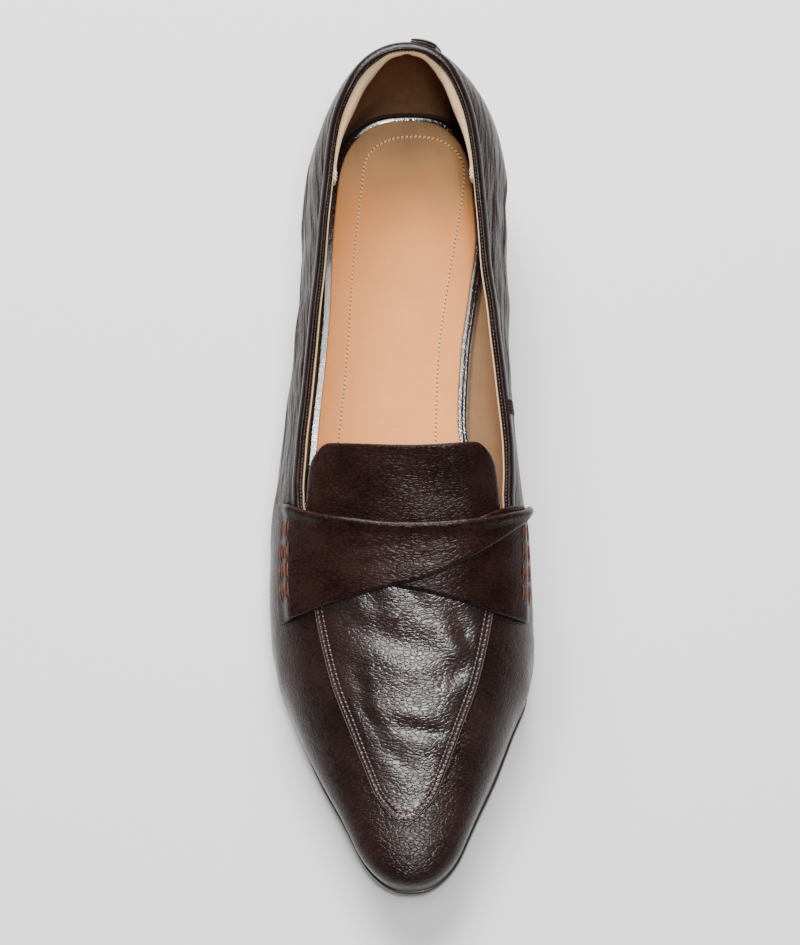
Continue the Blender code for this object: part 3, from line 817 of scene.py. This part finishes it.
def heel_rungs(share, height):
    """The heel's outline from the floor, share 0, to the sole, share 1."""
    inset = HEEL_INSET_LOW + (HEEL_INSET - HEEL_INSET_LOW) * share
    back = HEEL_BACK_LOW + (HEEL_BACK - HEEL_BACK_LOW) * share
    front = HEEL_FRONT_LOW + (HEEL_FRONT - HEEL_FRONT_LOW) * share
    along = 1 - np.cos(quarter_turn(40))
    t = HEEL_FRONT * along
    rungs = sole_rungs(t, 0.0 * t, height(t))
    centre = rungs[..., 0].mean(1)
    half = (rungs[:, 1, 0] - rungs[:, 0, 0]) / 2
    half = np.clip(half - inset * np.minimum(1.0, half / HEEL_INSET_FULL), 0, None)
    rungs[:, 0, 0], rungs[:, 1, 0] = centre - half, centre + half
    rungs[..., 1] = -(back + (front - back) * along + back_curve(t, 0 * t))[:, None]
    return rungs


def make_heel():
    base = TOP_LIFT + GAP

    def block(share):
        return heel_rungs(share, lambda t: base + (read(SOLE_LINE, "under", t) - GAP - base) * share)

    layers = [block(share) for share in np.linspace(0, 1, 9)]
    make_piece("heel_cover", layered(layers), "heel_leather", ["heel_block"])

    def lift(edge, height):
        return heel_rungs(-edge / (HEEL_INSET_LOW - HEEL_INSET), lambda t: 0 * t + height)

    layers = [lift(inset, rise) for inset, rise in edge_arc(TOP_LIFT_EDGE, 4)]
    layers.append(lift(0.0, TOP_LIFT))
    make_piece("heel_lift_rubber", layered(layers), "sole_rubber", ["heel_top_lift"])


# A sheet is thinner towards its edge, and its folds fade out there
APRON_ROUND, APRON_TIP_SLOPE, APRON_CALM, APRON_CALM_FADE = 0.7, 0.8, 2.5, 5.0
APRON_SUNK, APRON_LOWEST = 0.25, -0.1
GROOVE_INSET, GROOVE_WIDTH, GROOVE_DEPTH = 1.6, 0.9, 0.25
TONGUE_EDGE, TONGUE_ROUND, TONGUE_CALM = 0.45, 0.8, 4.0
STRAP_EDGE, STRAP_ROUND, STRAP_CALM, STRAP_MM = 0.35, 0.9, 3.0, 45.0
STRAP_ROLL, STRAP_ROLL_INSET, STRAP_ROLL_WIDTH = 0.85, 1.5, 1.3


def thinned(from_edge, edge, radius):
    """Share of a sheet's thickness near its edge, where only the share edge is left."""
    return edge + (1 - edge) * rounding(from_edge, radius)


def apron_half(t):
    return read(APRON_PLAN, "half", t) * rounding(APRON_TIP - t, APRON_CAP)


def apron_stations(start, count, tip_count):
    """Places along the apron from start to its tip, closer together at the tip."""
    tip = APRON_TIP - APRON_CAP * (1 - np.sin(quarter_turn(tip_count)))
    return np.concatenate([np.linspace(start, tip[0], count, endpoint=False), tip])


def make_apron():
    t = apron_stations(APRON_REAR, 74, 14)[:, None]
    q = ends_close(-1, 1, 73)[None, :]
    half = apron_half(t)
    x = q * half
    from_edge = np.minimum(half * (1 - np.abs(q)), (APRON_TIP - t) * APRON_TIP_SLOPE)
    groove = GROOVE_DEPTH * np.exp(-(((from_edge - GROOVE_INSET) / GROOVE_WIDTH) ** 2))
    calm = np.clip((from_edge - APRON_CALM) / APRON_CALM_FADE, 0, 1)
    wrinkles = crease_field(APRON_CREASES, t, x, 1.0) * calm
    height = APRON * rounding(from_edge, APRON_ROUND) - groove + wrinkles
    lower = on_top(t, x, GAP - APRON_SUNK + 0 * x)
    upper = on_top(t, x, GAP + np.maximum(height, APRON_LOWEST))
    make_piece("apron_leather", slab(lower, upper), "apron_leather", ["vamp_apron"])


def make_tongue():
    corner = TONGUE_REAR + TONGUE_CORNER * (1 - np.cos(quarter_turn(10)))
    t = np.concatenate([corner, np.linspace(corner[-1], APRON_REAR - GAP, 30)[1:]])[:, None]
    q = ends_close(-1, 1, 61)[None, :]
    cut = TONGUE_CORNER * (1 - rounding(t - TONGUE_REAR, TONGUE_CORNER))
    half = read(APRON_PLAN, "half", t) - cut
    free = np.clip(TONGUE_FREE - t, 0, None) / (TONGUE_FREE - TONGUE_REAR)
    back = (TONGUE_BOW * q * q - TONGUE_SLANT * q) * free
    x = q * half
    from_edge = np.minimum(half * (1 - np.abs(q)), t - TONGUE_REAR)
    thick = TONGUE * thinned(from_edge, TONGUE_EDGE, TONGUE_ROUND)
    dents = crease_field(TONGUE_CREASES, t, x, 1.0) * np.clip(from_edge / TONGUE_CALM, 0, 1)
    up = np.zeros(x.shape + (3,))
    up[..., 2] = TONGUE_LIFT * free**2
    lower = on_top(t - back, x, GAP + 0 * x) + up
    upper = on_top(t - back, x, GAP + thick + dents) + up
    make_piece("tongue_leather", slab(lower, upper), "tongue_leather", ["tongue"])


def make_straps():
    """The two strap halves; the one on top has a rolled rear edge."""
    for node, table in (("strap_under", STRAP_UNDER), ("strap_over", STRAP_OVER)):
        around = ends_close(table[0].around, table[-1].around, 120)[:, None]
        rear, front, lift = [read(table, column, around) for column in ("rear", "front", "lift")]
        t = rear + (front - rear) * ends_close(0, 1, 33)[None, :]
        from_end = np.abs(around - table[0].around) * STRAP_MM
        from_edge = np.minimum(np.minimum(t - rear, front - t), from_end)
        thick = STRAP * thinned(from_edge, STRAP_EDGE, STRAP_ROUND)
        if table is STRAP_OVER:
            from_roll = (t - rear - STRAP_ROLL_INSET) / STRAP_ROLL_WIDTH
            thick = thick + STRAP_ROLL * np.exp(-(from_roll**2))
        calm = np.clip(from_edge / STRAP_CALM, 0, 1)
        folds = crease_field(STRAP_FOLDS, t, around, STRAP_MM) * calm
        lower = wrapped(t, around, lift + 0 * t)
        upper = wrapped(t, around, lift + thick + folds)
        make_piece(node + "_leather", slab(lower, upper), "strap_leather", [node])


# Collar and heel
RIM_STEP = 0.05
BINDING_DIP, BINDING_DIP_FADE, BINDING_REACH = 2.4, 2.0, 148.6
BINDING_PITCH, BINDING_STITCH, BINDING_SEAM_INSET, BINDING_SEAM_UP = 1.1, 0.72, 1.30, 2.55

# Beads along the topline: distance in from the rim, height over it, half sizes and sides
ROLL, BEAD, LIP = named_rows(
    "inset up wide high sides",
    (0.36, 1.5, 0.98, 1.75, 14),
    (1.80, 1.55, 0.52, 1.40, 12),
    (2.62, 1.0, 0.42, 1.4, 10),
)

# At the back of the heel the grip stands out over the sunk bead
BACK_FULL, GRIP_OUT, BEAD_SUNK = 2.4, 1.0, 1.3
GRIP_END, GRIP_HIGH, GRIP_INSET, GRIP_UP = 45.0, 2.4, 2.1, 0.25
GRIP_FOLD, GRIP_FOLD_WIDTH = 0.22, 0.10
GRIP_STITCHES, GRIP_STITCH_REACH, GRIP_STITCH_SUNK = (0.9, 1.9, 2.9), 0.75, 0.15
COUNTER_TOP, COUNTER_FOOT, COUNTER_SUEDE = 0.01, 0.02, 0.75
GRIP = named_rows(
    "t wide",
    (0.0, 1.55),
    (1.5, 1.62),
    (4.0, 2.05),
    (8.0, 2.65),
    (20.0, 2.50),
    (34.0, 1.35),
    (40.0, 1.05),
    (42.0, 1.25),
    (45.0, 1.25),
)

TAB_FROM, TAB_TO, TAB_HEIGHT, TAB_WIDTH, TAB_BELOW_COLLAR = 0.05, 3.0, 12.0, 10.0, 0.6
TAB_EDGE, TAB_ROUND, TAB_PUFF_DROP, TAB_PUFF_REACH = 0.3, 0.7, 3.0, 3.0
TAB_LAYERS = named_rows("low high puff shorter", (0.0, 0.55, 0.0, 0.0), (0.68, 1.2, 0.6, 0.5))

# Radius and arch of each seam's thread, radius and half thickness of its needle holes
BINDING_THREAD, GRIP_THREAD, BARTACK_THREAD = (0.17, 0.12), (0.22, 0.2), (0.50, 0.9)
APRON_THREAD, STRAP_THREAD, SOCK_THREAD = (0.24, 0.24), (0.30, 0.25), (0.36, 0.26)
APRON_HOLE, STRAP_HOLE, SOCK_HOLE = (0.46, 0.2), (0.75, 0.22), (0.27, 0.14)


def collar_line(side, t):
    """The rim of the wall: its outer points, their outward and their upward directions."""
    rise = collar_rise(t, side)
    rim = form(t, side, rise)
    across = unit(rim - inset_form(t, side, rise, WALL, COUNTER))
    up = unit(rim - form(t, side, rise - RIM_STEP))
    up = unit(up - across * np.sum(up * across, -1, keepdims=True))
    return rim, across, up


def round_heel(t):
    """The rim from the lateral side round the heel to the medial side, and its places t."""
    lateral, medial = [(*collar_line(side, t), t) for side in SIDES]
    return [np.concatenate([a[::-1], b[1:]]) for a, b in zip(lateral, medial)]


def at_back(t):
    """A share that is 1 at the back of the heel and soon 0 to either side."""
    return np.exp(-((t / BACK_FULL) ** 2))


def make_binding():
    """Two rolled beads side by side along the topline, and the lining's pale lip inside them."""
    heel = HEEL_CAP * (1 - np.cos(quarter_turn(26, endpoint=False)))
    rim, across, up, t = round_heel(np.append(heel, np.linspace(HEEL_CAP, BINDING_REACH, 70)))
    front = BINDING_END - BINDING_DIP_FADE
    dip = BINDING_DIP * np.clip((t - front) / (BINDING_REACH - front), 0, 1) ** 2
    rim = rim - up * dip[:, None]

    def along_rim(bead, sunk=0.0):
        height = bead.up - sunk + 0 * t
        centres = rim - across * bead.inset + up * height[:, None]
        return tube_sheets(centres, across, up, bead.wide, bead.high, bead.sides)

    make_piece("binding_roll", along_rim(ROLL), "binding_leather", ["topline_binding"])
    bead = along_rim(BEAD, BEAD_SUNK * at_back(t))
    make_piece("binding_bead", bead, "binding_leather")
    make_piece("lining_lip", along_rim(LIP), "lining_edge")
    line = rim - across * BINDING_SEAM_INSET + up * BINDING_SEAM_UP
    seam = resample(np.concatenate([line, up], 1), BINDING_PITCH)
    middle, normals = seam[:, :3], unit(seam[:, 3:])
    reach = unit(np.gradient(middle, axis=0)) * BINDING_STITCH / 2
    stitches = stitch_sheets(middle - reach, middle + reach, normals, *BINDING_THREAD)
    make_piece("binding_stitches", stitches, "seam_thread", weld=False)


def heel_places():
    """Places from the back of the heel to the end of the grip, closer together at the back."""
    return HEEL_CAP * (1 - np.cos(np.linspace(0, math.acos(1 - GRIP_END / HEEL_CAP), 46)))


def make_heel_grip():
    """The padded roll of suede inside the topline, and the stitches across its ends."""
    rim, across, up, t = round_heel(heel_places())
    wide = read(GRIP, "wide", t)
    fold = 1 - GRIP_FOLD * np.exp(-((t / GRIP_FOLD_WIDTH) ** 2))
    inset = GRIP_INSET + wide - GRIP_OUT * at_back(t)
    centre = rim - across * inset[:, None] + up * GRIP_UP
    roll = tube_sheets(centre, across, up, wide * fold, GRIP_HIGH * fold, 16)
    pad = make_piece("heel_grip", roll, "heel_grip_suede")
    last = np.repeat([0, -1], len(GRIP_STITCHES))
    step = np.tile(GRIP_STITCHES, 2)[:, None]
    toward = unit(centre[[1, -2]] - centre[[0, -1]])[last]
    top = centre[last] + up[last] * (GRIP_HIGH - GRIP_STITCH_SUNK) + toward * step
    reach = across[last] * GRIP_STITCH_REACH
    ends = stitch_sheets(top - reach, top + reach, up[last], *GRIP_THREAD)
    make_piece("grip_stitches", ends, "white_thread", weld=False)


def make_counter_lining():
    """The thin suede on the inside of the counter, from the grip down to the footbed; its dark brown
    is partly the suede's own colour and partly painted shade.
    """
    heel = heel_places()
    sheets = []
    for side in SIDES:
        top = collar_rise(heel, side)[:, None] - COUNTER_TOP
        rise = top + (COUNTER_FOOT - top) * np.linspace(0, 1, 24)[None, :]
        outer = inset_form(heel[:, None], side, rise, WALL + LINING_GAP, COUNTER)
        inner = inset_form(heel[:, None], side, rise, WALL + COUNTER_SUEDE, COUNTER)
        rims = [np.stack([outer[:, k], inner[:, k]]) for k in (0, -1)]
        sheets += [outer, inner, *rims, np.stack([outer[-1], inner[-1]])]
    make_piece("counter_lining", sheets, "counter_suede")


def make_tab():
    """The short tab behind the heel, folded at its lower end: made as two layers of leather."""
    turn = [math.acos(1 - at / HEEL_CAP) for at in (TAB_FROM, TAB_TO)]
    share = np.linspace(0, 1, 28)[:, None]
    t = HEEL_CAP * (1 - np.cos(turn[0] + (turn[1] - turn[0]) * share))
    v = ends_close(0, 1, 30)[None, :]
    s = section(t)
    from_sides, from_ends = np.minimum(share, 1 - share), np.minimum(v, 1 - v)
    from_edge = np.minimum(from_sides * TAB_WIDTH, from_ends * TAB_HEIGHT)
    sheets = []
    for layer in TAB_LAYERS:
        below = TAB_BELOW_COLLAR + layer.shorter
        drop = below + (TAB_HEIGHT - below) * v
        rise = collar_rise(t, MEDIAL) - drop / (s.ridge - s.belly)
        thick = (layer.high - layer.low) * thinned(from_edge, TAB_EDGE, TAB_ROUND)
        puff = np.exp(-(((drop - TAB_PUFF_DROP) / TAB_PUFF_REACH) ** 2))
        thick = thick + layer.puff * np.sin(math.pi * share) ** 0.5 * puff
        lower = inset_form(t, MEDIAL, rise, -(GAP + layer.low))
        upper = inset_form(t, MEDIAL, rise, -(GAP + layer.low + thick))
        sheets += slab(lower, upper)
    make_piece("heel_tab_leather", sheets, "tab_leather", ["heel_tab"])


# Stitches
THREAD_RINGS, THREAD_SIDES, THREAD_END, THREAD_TIP = 7, 6, 0.45, 0.08
DOT_RINGS, DOT_SIDES, DOT_START = 5, 8, (0.3, 0.5, 0.81)


def resample(path, step):
    """Points of a path at even steps, with what else its rows hold."""
    steps = np.linalg.norm(np.diff(path[:, :3], axis=0), axis=1)
    length = np.concatenate([[0], np.cumsum(steps)])
    count = max(2, int(round(length[-1] / step)) + 1)
    at = np.linspace(0, length[-1], count)
    return np.stack([np.interp(at, length, path[:, k]) for k in range(path.shape[1])], -1)


def stitch_sheets(starts, ends, normals, radius, arch):
    """Small arched threads from starts to ends, thinner where they go into the leather."""
    share = np.linspace(0, 1, THREAD_RINGS)
    full = np.sin(math.pi * np.clip(share, THREAD_TIP, 1 - THREAD_TIP)) ** 0.5
    size = radius * (THREAD_END + (1 - THREAD_END) * full)
    rise = arch * np.sin(math.pi * share)[:, None]
    sheets = []
    for a, b, normal in zip(starts, ends, normals):
        middle = a + (b - a) * share[:, None] + normal * rise
        across = np.broadcast_to(unit(np.cross(normal, b - a)), middle.shape)
        up = np.broadcast_to(normal, middle.shape)
        sheets += tube_sheets(middle, across, up, size, size, THREAD_SIDES)
    return sheets


def dot_sheets(centres, normals, radius, flat):
    """Small flattened beads, for needle holes; their dark colour is painted shade."""
    angle = full_turn(DOT_SIDES)[:, None]
    tilt = np.linspace(-math.pi / 2, math.pi / 2, DOT_RINGS)[:, None, None]
    sheets = []
    for centre, normal in zip(centres, normals):
        first = unit(np.cross(normal, DOT_START))
        second = np.cross(normal, first)
        ring = first * np.cos(angle) + second * np.sin(angle)
        sheets.append(centre + radius * np.cos(tilt) * ring + normal * (flat * np.sin(tilt)))
    return sheets


APRON_SEAM = named_rows("inset lean", (0.90, 0.14), (2.20, -0.14))
APRON_SEAM_START, APRON_MIDDLE, APRON_STEP = 8.0, (200.0, 0.0), 0.5
APRON_PITCH, APRON_STITCH, APRON_STITCH_SUNK, APRON_HOLE_UP = 1.45, 0.70, 0.20, 0.05
EDGE_INSET, EDGE_PITCH, EDGE_HEIGHT, EDGE_RADIUS = 0.06, 1.2, 0.74, 0.17


def sideways(direction):
    """Directions in plan turned by a right angle."""
    return np.stack([-direction[:, 1], direction[:, 0]], -1)


def apron_path(inset):
    """The apron's edge in plan, moved in by inset, as t and x from lateral to medial."""
    t = apron_stations(APRON_REAR + APRON_SEAM_START, 120, 40)
    edge = np.stack([t, -apron_half(t)], -1)
    edge = np.concatenate([edge, (edge * [1, -1])[::-1][1:]])
    inner = sideways(unit(np.gradient(edge, axis=0)))
    inner = inner * np.sign(np.sum(inner * (APRON_MIDDLE - edge), -1, keepdims=True))
    return edge + inner * inset


def surface_points(plan, off):
    """Points and normals on the apron's surface above plan places."""
    points = on_top(plan[:, 0], plan[:, 1], off)
    higher = on_top(plan[:, 0], plan[:, 1], off + APRON_STEP)
    return points, unit(higher - points)


def make_apron_edge():
    """The thin line along the cut edge of the apron, lighter than its leather: a painted highlight of
    the cut edge catching the light.
    """
    edge = resample(apron_path(EDGE_INSET), EDGE_PITCH)
    centre, up = surface_points(edge, GAP + APRON * EDGE_HEIGHT)
    along = unit(np.gradient(centre, axis=0))
    cord = tube_sheets(centre, unit(np.cross(along, up)), up, EDGE_RADIUS, EDGE_RADIUS, 8)
    make_piece("apron_edge", cord, "apron_edge_line")


def make_apron_stitches():
    """Two rows of short stitches round the apron, with a needle hole after each stitch."""
    threads, holes = [], []
    off = GAP + APRON - APRON_STITCH_SUNK
    for row in APRON_SEAM:
        middle = resample(apron_path(row.inset), APRON_PITCH)
        direction = unit(np.gradient(middle, axis=0))
        reach = direction * APRON_STITCH / 2 - sideways(direction) * row.lean
        starts, normals = surface_points(middle - reach, off)
        ends, _ = surface_points(middle + reach, off)
        threads += stitch_sheets(starts, ends, normals, *APRON_THREAD)
        between = (middle[:-1] + middle[1:]) / 2
        holes += dot_sheets(*surface_points(between, off + APRON_HOLE_UP), *APRON_HOLE)
    make_piece("apron_stitches", threads, "rose_thread", weld=False)
    # the needle holes are dark beads of painted shade
    make_piece("apron_needle_holes", holes, "stitch_hole", weld=False)


STRAP_STITCHES = named_rows(
    "around t_first t_last count",
    (-0.625, 151.0, 174.0, 4),
    (-0.545, 151.5, 174.5, 4),
    (0.700, 151.5, 175.0, 4),
    (0.625, 152.0, 175.5, 4),
)
STRAP_STITCH_GAP, STRAP_STITCH_ASIDE, STRAP_STEP = 0.5, 0.0105, 0.6
STRAP_STITCH_SUNK, STRAP_HOLE_SUNK = 0.1, 0.12


def make_strap_stitches():
    """Columns of double stitches near the straps' ends, with a needle hole between them."""
    threads, holes = [], []
    for column in STRAP_STITCHES:
        table = STRAP_OVER if column.around < 0 else STRAP_UNDER
        lift = read(table, "lift", column.around) + STRAP

        def normals(t, around):
            return unit(wrapped(t, around, lift + STRAP_STEP) - wrapped(t, around, lift))

        edges = np.linspace(column.t_first, column.t_last, column.count + 1)
        first, last = edges[:-1] + STRAP_STITCH_GAP, edges[1:] - STRAP_STITCH_GAP
        for aside in (-STRAP_STITCH_ASIDE, STRAP_STITCH_ASIDE):
            around = column.around + aside
            starts, ends = [wrapped(t, around, lift - STRAP_STITCH_SUNK) for t in (first, last)]
            threads += stitch_sheets(starts, ends, normals((first + last) / 2, around), *STRAP_THREAD)
        centres = wrapped(edges, column.around, lift - STRAP_HOLE_SUNK)
        holes += dot_sheets(centres, normals(edges, column.around), *STRAP_HOLE)
    make_piece("strap_stitches", threads, "copper_thread", weld=False)
    # the needle holes are dark beads of painted shade
    make_piece("strap_needle_holes", holes, "stitch_hole", weld=False)


SOCK_LINE = named_rows(
    "t lateral medial",
    (15.2, -12.4, 17.2),
    (30.0, -13.6, 18.9),
    (45.0, -15.3, 17.2),
    (65.0, -17.1, 13.8),
    (90.0, -18.9, 10.2),
    (117.0, -22.0, 9.1),
    (150.0, -25.0, 10.0),
)
SOCK_LINE_CAP, SOCK_LINE_ROUND, SOCK_LINE_CENTRE, SOCK_LINE_PITCH = 13.0, 2.4, 2.4, 1.42
SOCK_STITCH_REACH, SOCK_STITCH_LEAN, SOCK_STITCH_SUNK, SOCK_HOLE_UP = 0.50, 0.22, 0.10, 0.02


def make_sock_stitches():
    """The line of small stitches set in from the sock's edge, with a flat arch at the heel."""
    start, stop = SOCK_LINE[0].t, SOCK_LINE[-1].t
    arch = ends_close(start, start + 2 * SOCK_LINE_CAP, 60)[:30]
    t = np.concatenate([arch, np.linspace(start + SOCK_LINE_CAP, stop, 60)])
    share = rounding(t - start, SOCK_LINE_CAP, SOCK_LINE_ROUND)
    y = -(t + back_curve(t, 0 * t))
    z = feather(t) + FOOTBED + GAP + SOCK
    sides = []
    for name in ("lateral", "medial"):
        x = SOCK_LINE_CENTRE + (read(SOCK_LINE, name, t) - SOCK_LINE_CENTRE) * share
        sides.append(np.stack([x, y, z], -1))
    middle = resample(np.concatenate([sides[0][:0:-1], sides[1]]), SOCK_LINE_PITCH)
    direction = unit(np.gradient(middle, axis=0))
    normals = np.tile([0.0, 0.0, 1.0], (len(middle), 1))
    reach = direction * SOCK_STITCH_REACH + np.cross(normals, direction) * SOCK_STITCH_LEAN
    sunk = middle - normals * SOCK_STITCH_SUNK
    threads = stitch_sheets(sunk - reach, sunk + reach, normals, *SOCK_THREAD)
    make_piece("sock_stitches", threads, "pale_thread", weld=False)
    between = (middle[1:] + middle[:-1]) / 2 + normals[1:] * SOCK_HOLE_UP
    holes = dot_sheets(between, normals[1:], *SOCK_HOLE)
    # the needle holes are dark beads of painted shade
    make_piece("sock_needle_holes", holes, "sock_hole", weld=False)


BARTACK_FROM, BARTACK_TO, BARTACK_BARS = 114.6, 118.2, 5
BARTACK_TOP_INSET, BARTACK_TOP_UP, BARTACK_LOW_OUT, BARTACK_LOW_DOWN = 0.5, 2.9, 0.55, 1.6
BARTACK_TILT = 0.6


def make_bartack():
    """The short dark bars of thread where the medial side seam meets the topline."""
    rim, across, up = collar_line(MEDIAL, np.linspace(BARTACK_FROM, BARTACK_TO, BARTACK_BARS))
    top = rim - across * BARTACK_TOP_INSET + up * BARTACK_TOP_UP
    low = rim + across * BARTACK_LOW_OUT - up * BARTACK_LOW_DOWN
    bars = stitch_sheets(top, low, unit(across + BARTACK_TILT * up), *BARTACK_THREAD)
    make_piece("side_bartack", bars, "dark_thread", weld=False)


# Stage: places in metres, the angle in degrees, lens and sensor in millimetres
CAMERA_DISTANCE, CAMERA_HEIGHT_ANGLE, CAMERA_ASIDE = 1.1, 72.0, 0.04
CAMERA_LENS, CAMERA_SENSOR = 134.0, 36.0
CAMERA_TARGET = Vector((0.0, 0.0, 0.03))


def make_camera():
    camera = bpy.data.cameras.new("camera")
    camera.lens = CAMERA_LENS
    camera.sensor_width = CAMERA_SENSOR
    obj = add_object("camera", camera)
    angle = math.radians(CAMERA_HEIGHT_ANGLE)
    back = Vector((0.0, -math.cos(angle), math.sin(angle))) * CAMERA_DISTANCE
    obj.location = CAMERA_TARGET + back + Vector((CAMERA_ASIDE, 0.0, 0.0))
    toward = (CAMERA_TARGET - obj.location).normalized()
    right = toward.cross(Vector((0.0, 1.0, 0.0))).normalized()
    up = right.cross(toward)
    obj.rotation_euler = Matrix((right, up, -toward)).transposed().to_euler()
    bpy.context.scene.camera = obj


LAMPS = named_rows(
    "name place size power",
    ("key_softbox", (-0.12, 0.95, 1.08), (0.8, 0.8), 58.0),
    ("front_softbox", (0.12, -0.31, 1.22), (0.16, 0.15), 11.5),
    ("top_card", (0.06, 0.0, 1.26), (0.30, 0.42), 5.2),
)
WHITE, WORLD_STRENGTH = (1.0, 1.0, 1.0, 1.0), 0.10
FLOOR_SIZE, FLOOR_LEVEL = 4.0, -0.0002
FLOOR_COLOUR, FLOOR_ROUGHNESS, FLOOR_GLOW = (0.66, 0.66, 0.66, 1.0), 0.9, 0.1


def make_lights():
    for lamp in LAMPS:
        light = bpy.data.lights.new(lamp.name, "AREA")
        light.shape = "RECTANGLE"
        light.size, light.size_y = lamp.size
        light.energy = lamp.power
        obj = add_object(lamp.name, light)
        obj.location = lamp.place
        toward = CAMERA_TARGET - Vector(lamp.place)
        obj.rotation_euler = toward.to_track_quat("-Z", "Y").to_euler()
    world = bpy.data.worlds.new("studio")
    world.use_nodes = True
    background = world.node_tree.nodes["Background"]
    background.inputs["Color"].default_value = WHITE
    background.inputs["Strength"].default_value = WORLD_STRENGTH
    bpy.context.scene.world = world


def make_floor():
    mesh = bpy.data.meshes.new("floor")
    size = FLOOR_SIZE
    corners = [(-size, -size, 0), (size, -size, 0), (size, size, 0), (-size, size, 0)]
    mesh.from_pydata(corners, [], [(0, 1, 2, 3)])
    n = Nodes("floor_white")
    n.set(Base_Color=FLOOR_COLOUR, Roughness=FLOOR_ROUGHNESS)
    n.set(Emission_Color=WHITE, Emission_Strength=FLOOR_GLOW)
    mesh.materials.append(n.material)
    floor = add_object("floor", mesh)
    floor.location.z = FLOOR_LEVEL


make_upper()
make_outsole()
make_footbed()
make_heel()
make_apron()
make_tongue()
make_straps()
make_binding()
make_heel_grip()
make_counter_lining()
make_tab()
make_apron_edge()
make_apron_stitches()
make_strap_stitches()
make_sock_stitches()
make_bartack()
make_floor()
make_lights()
make_camera()
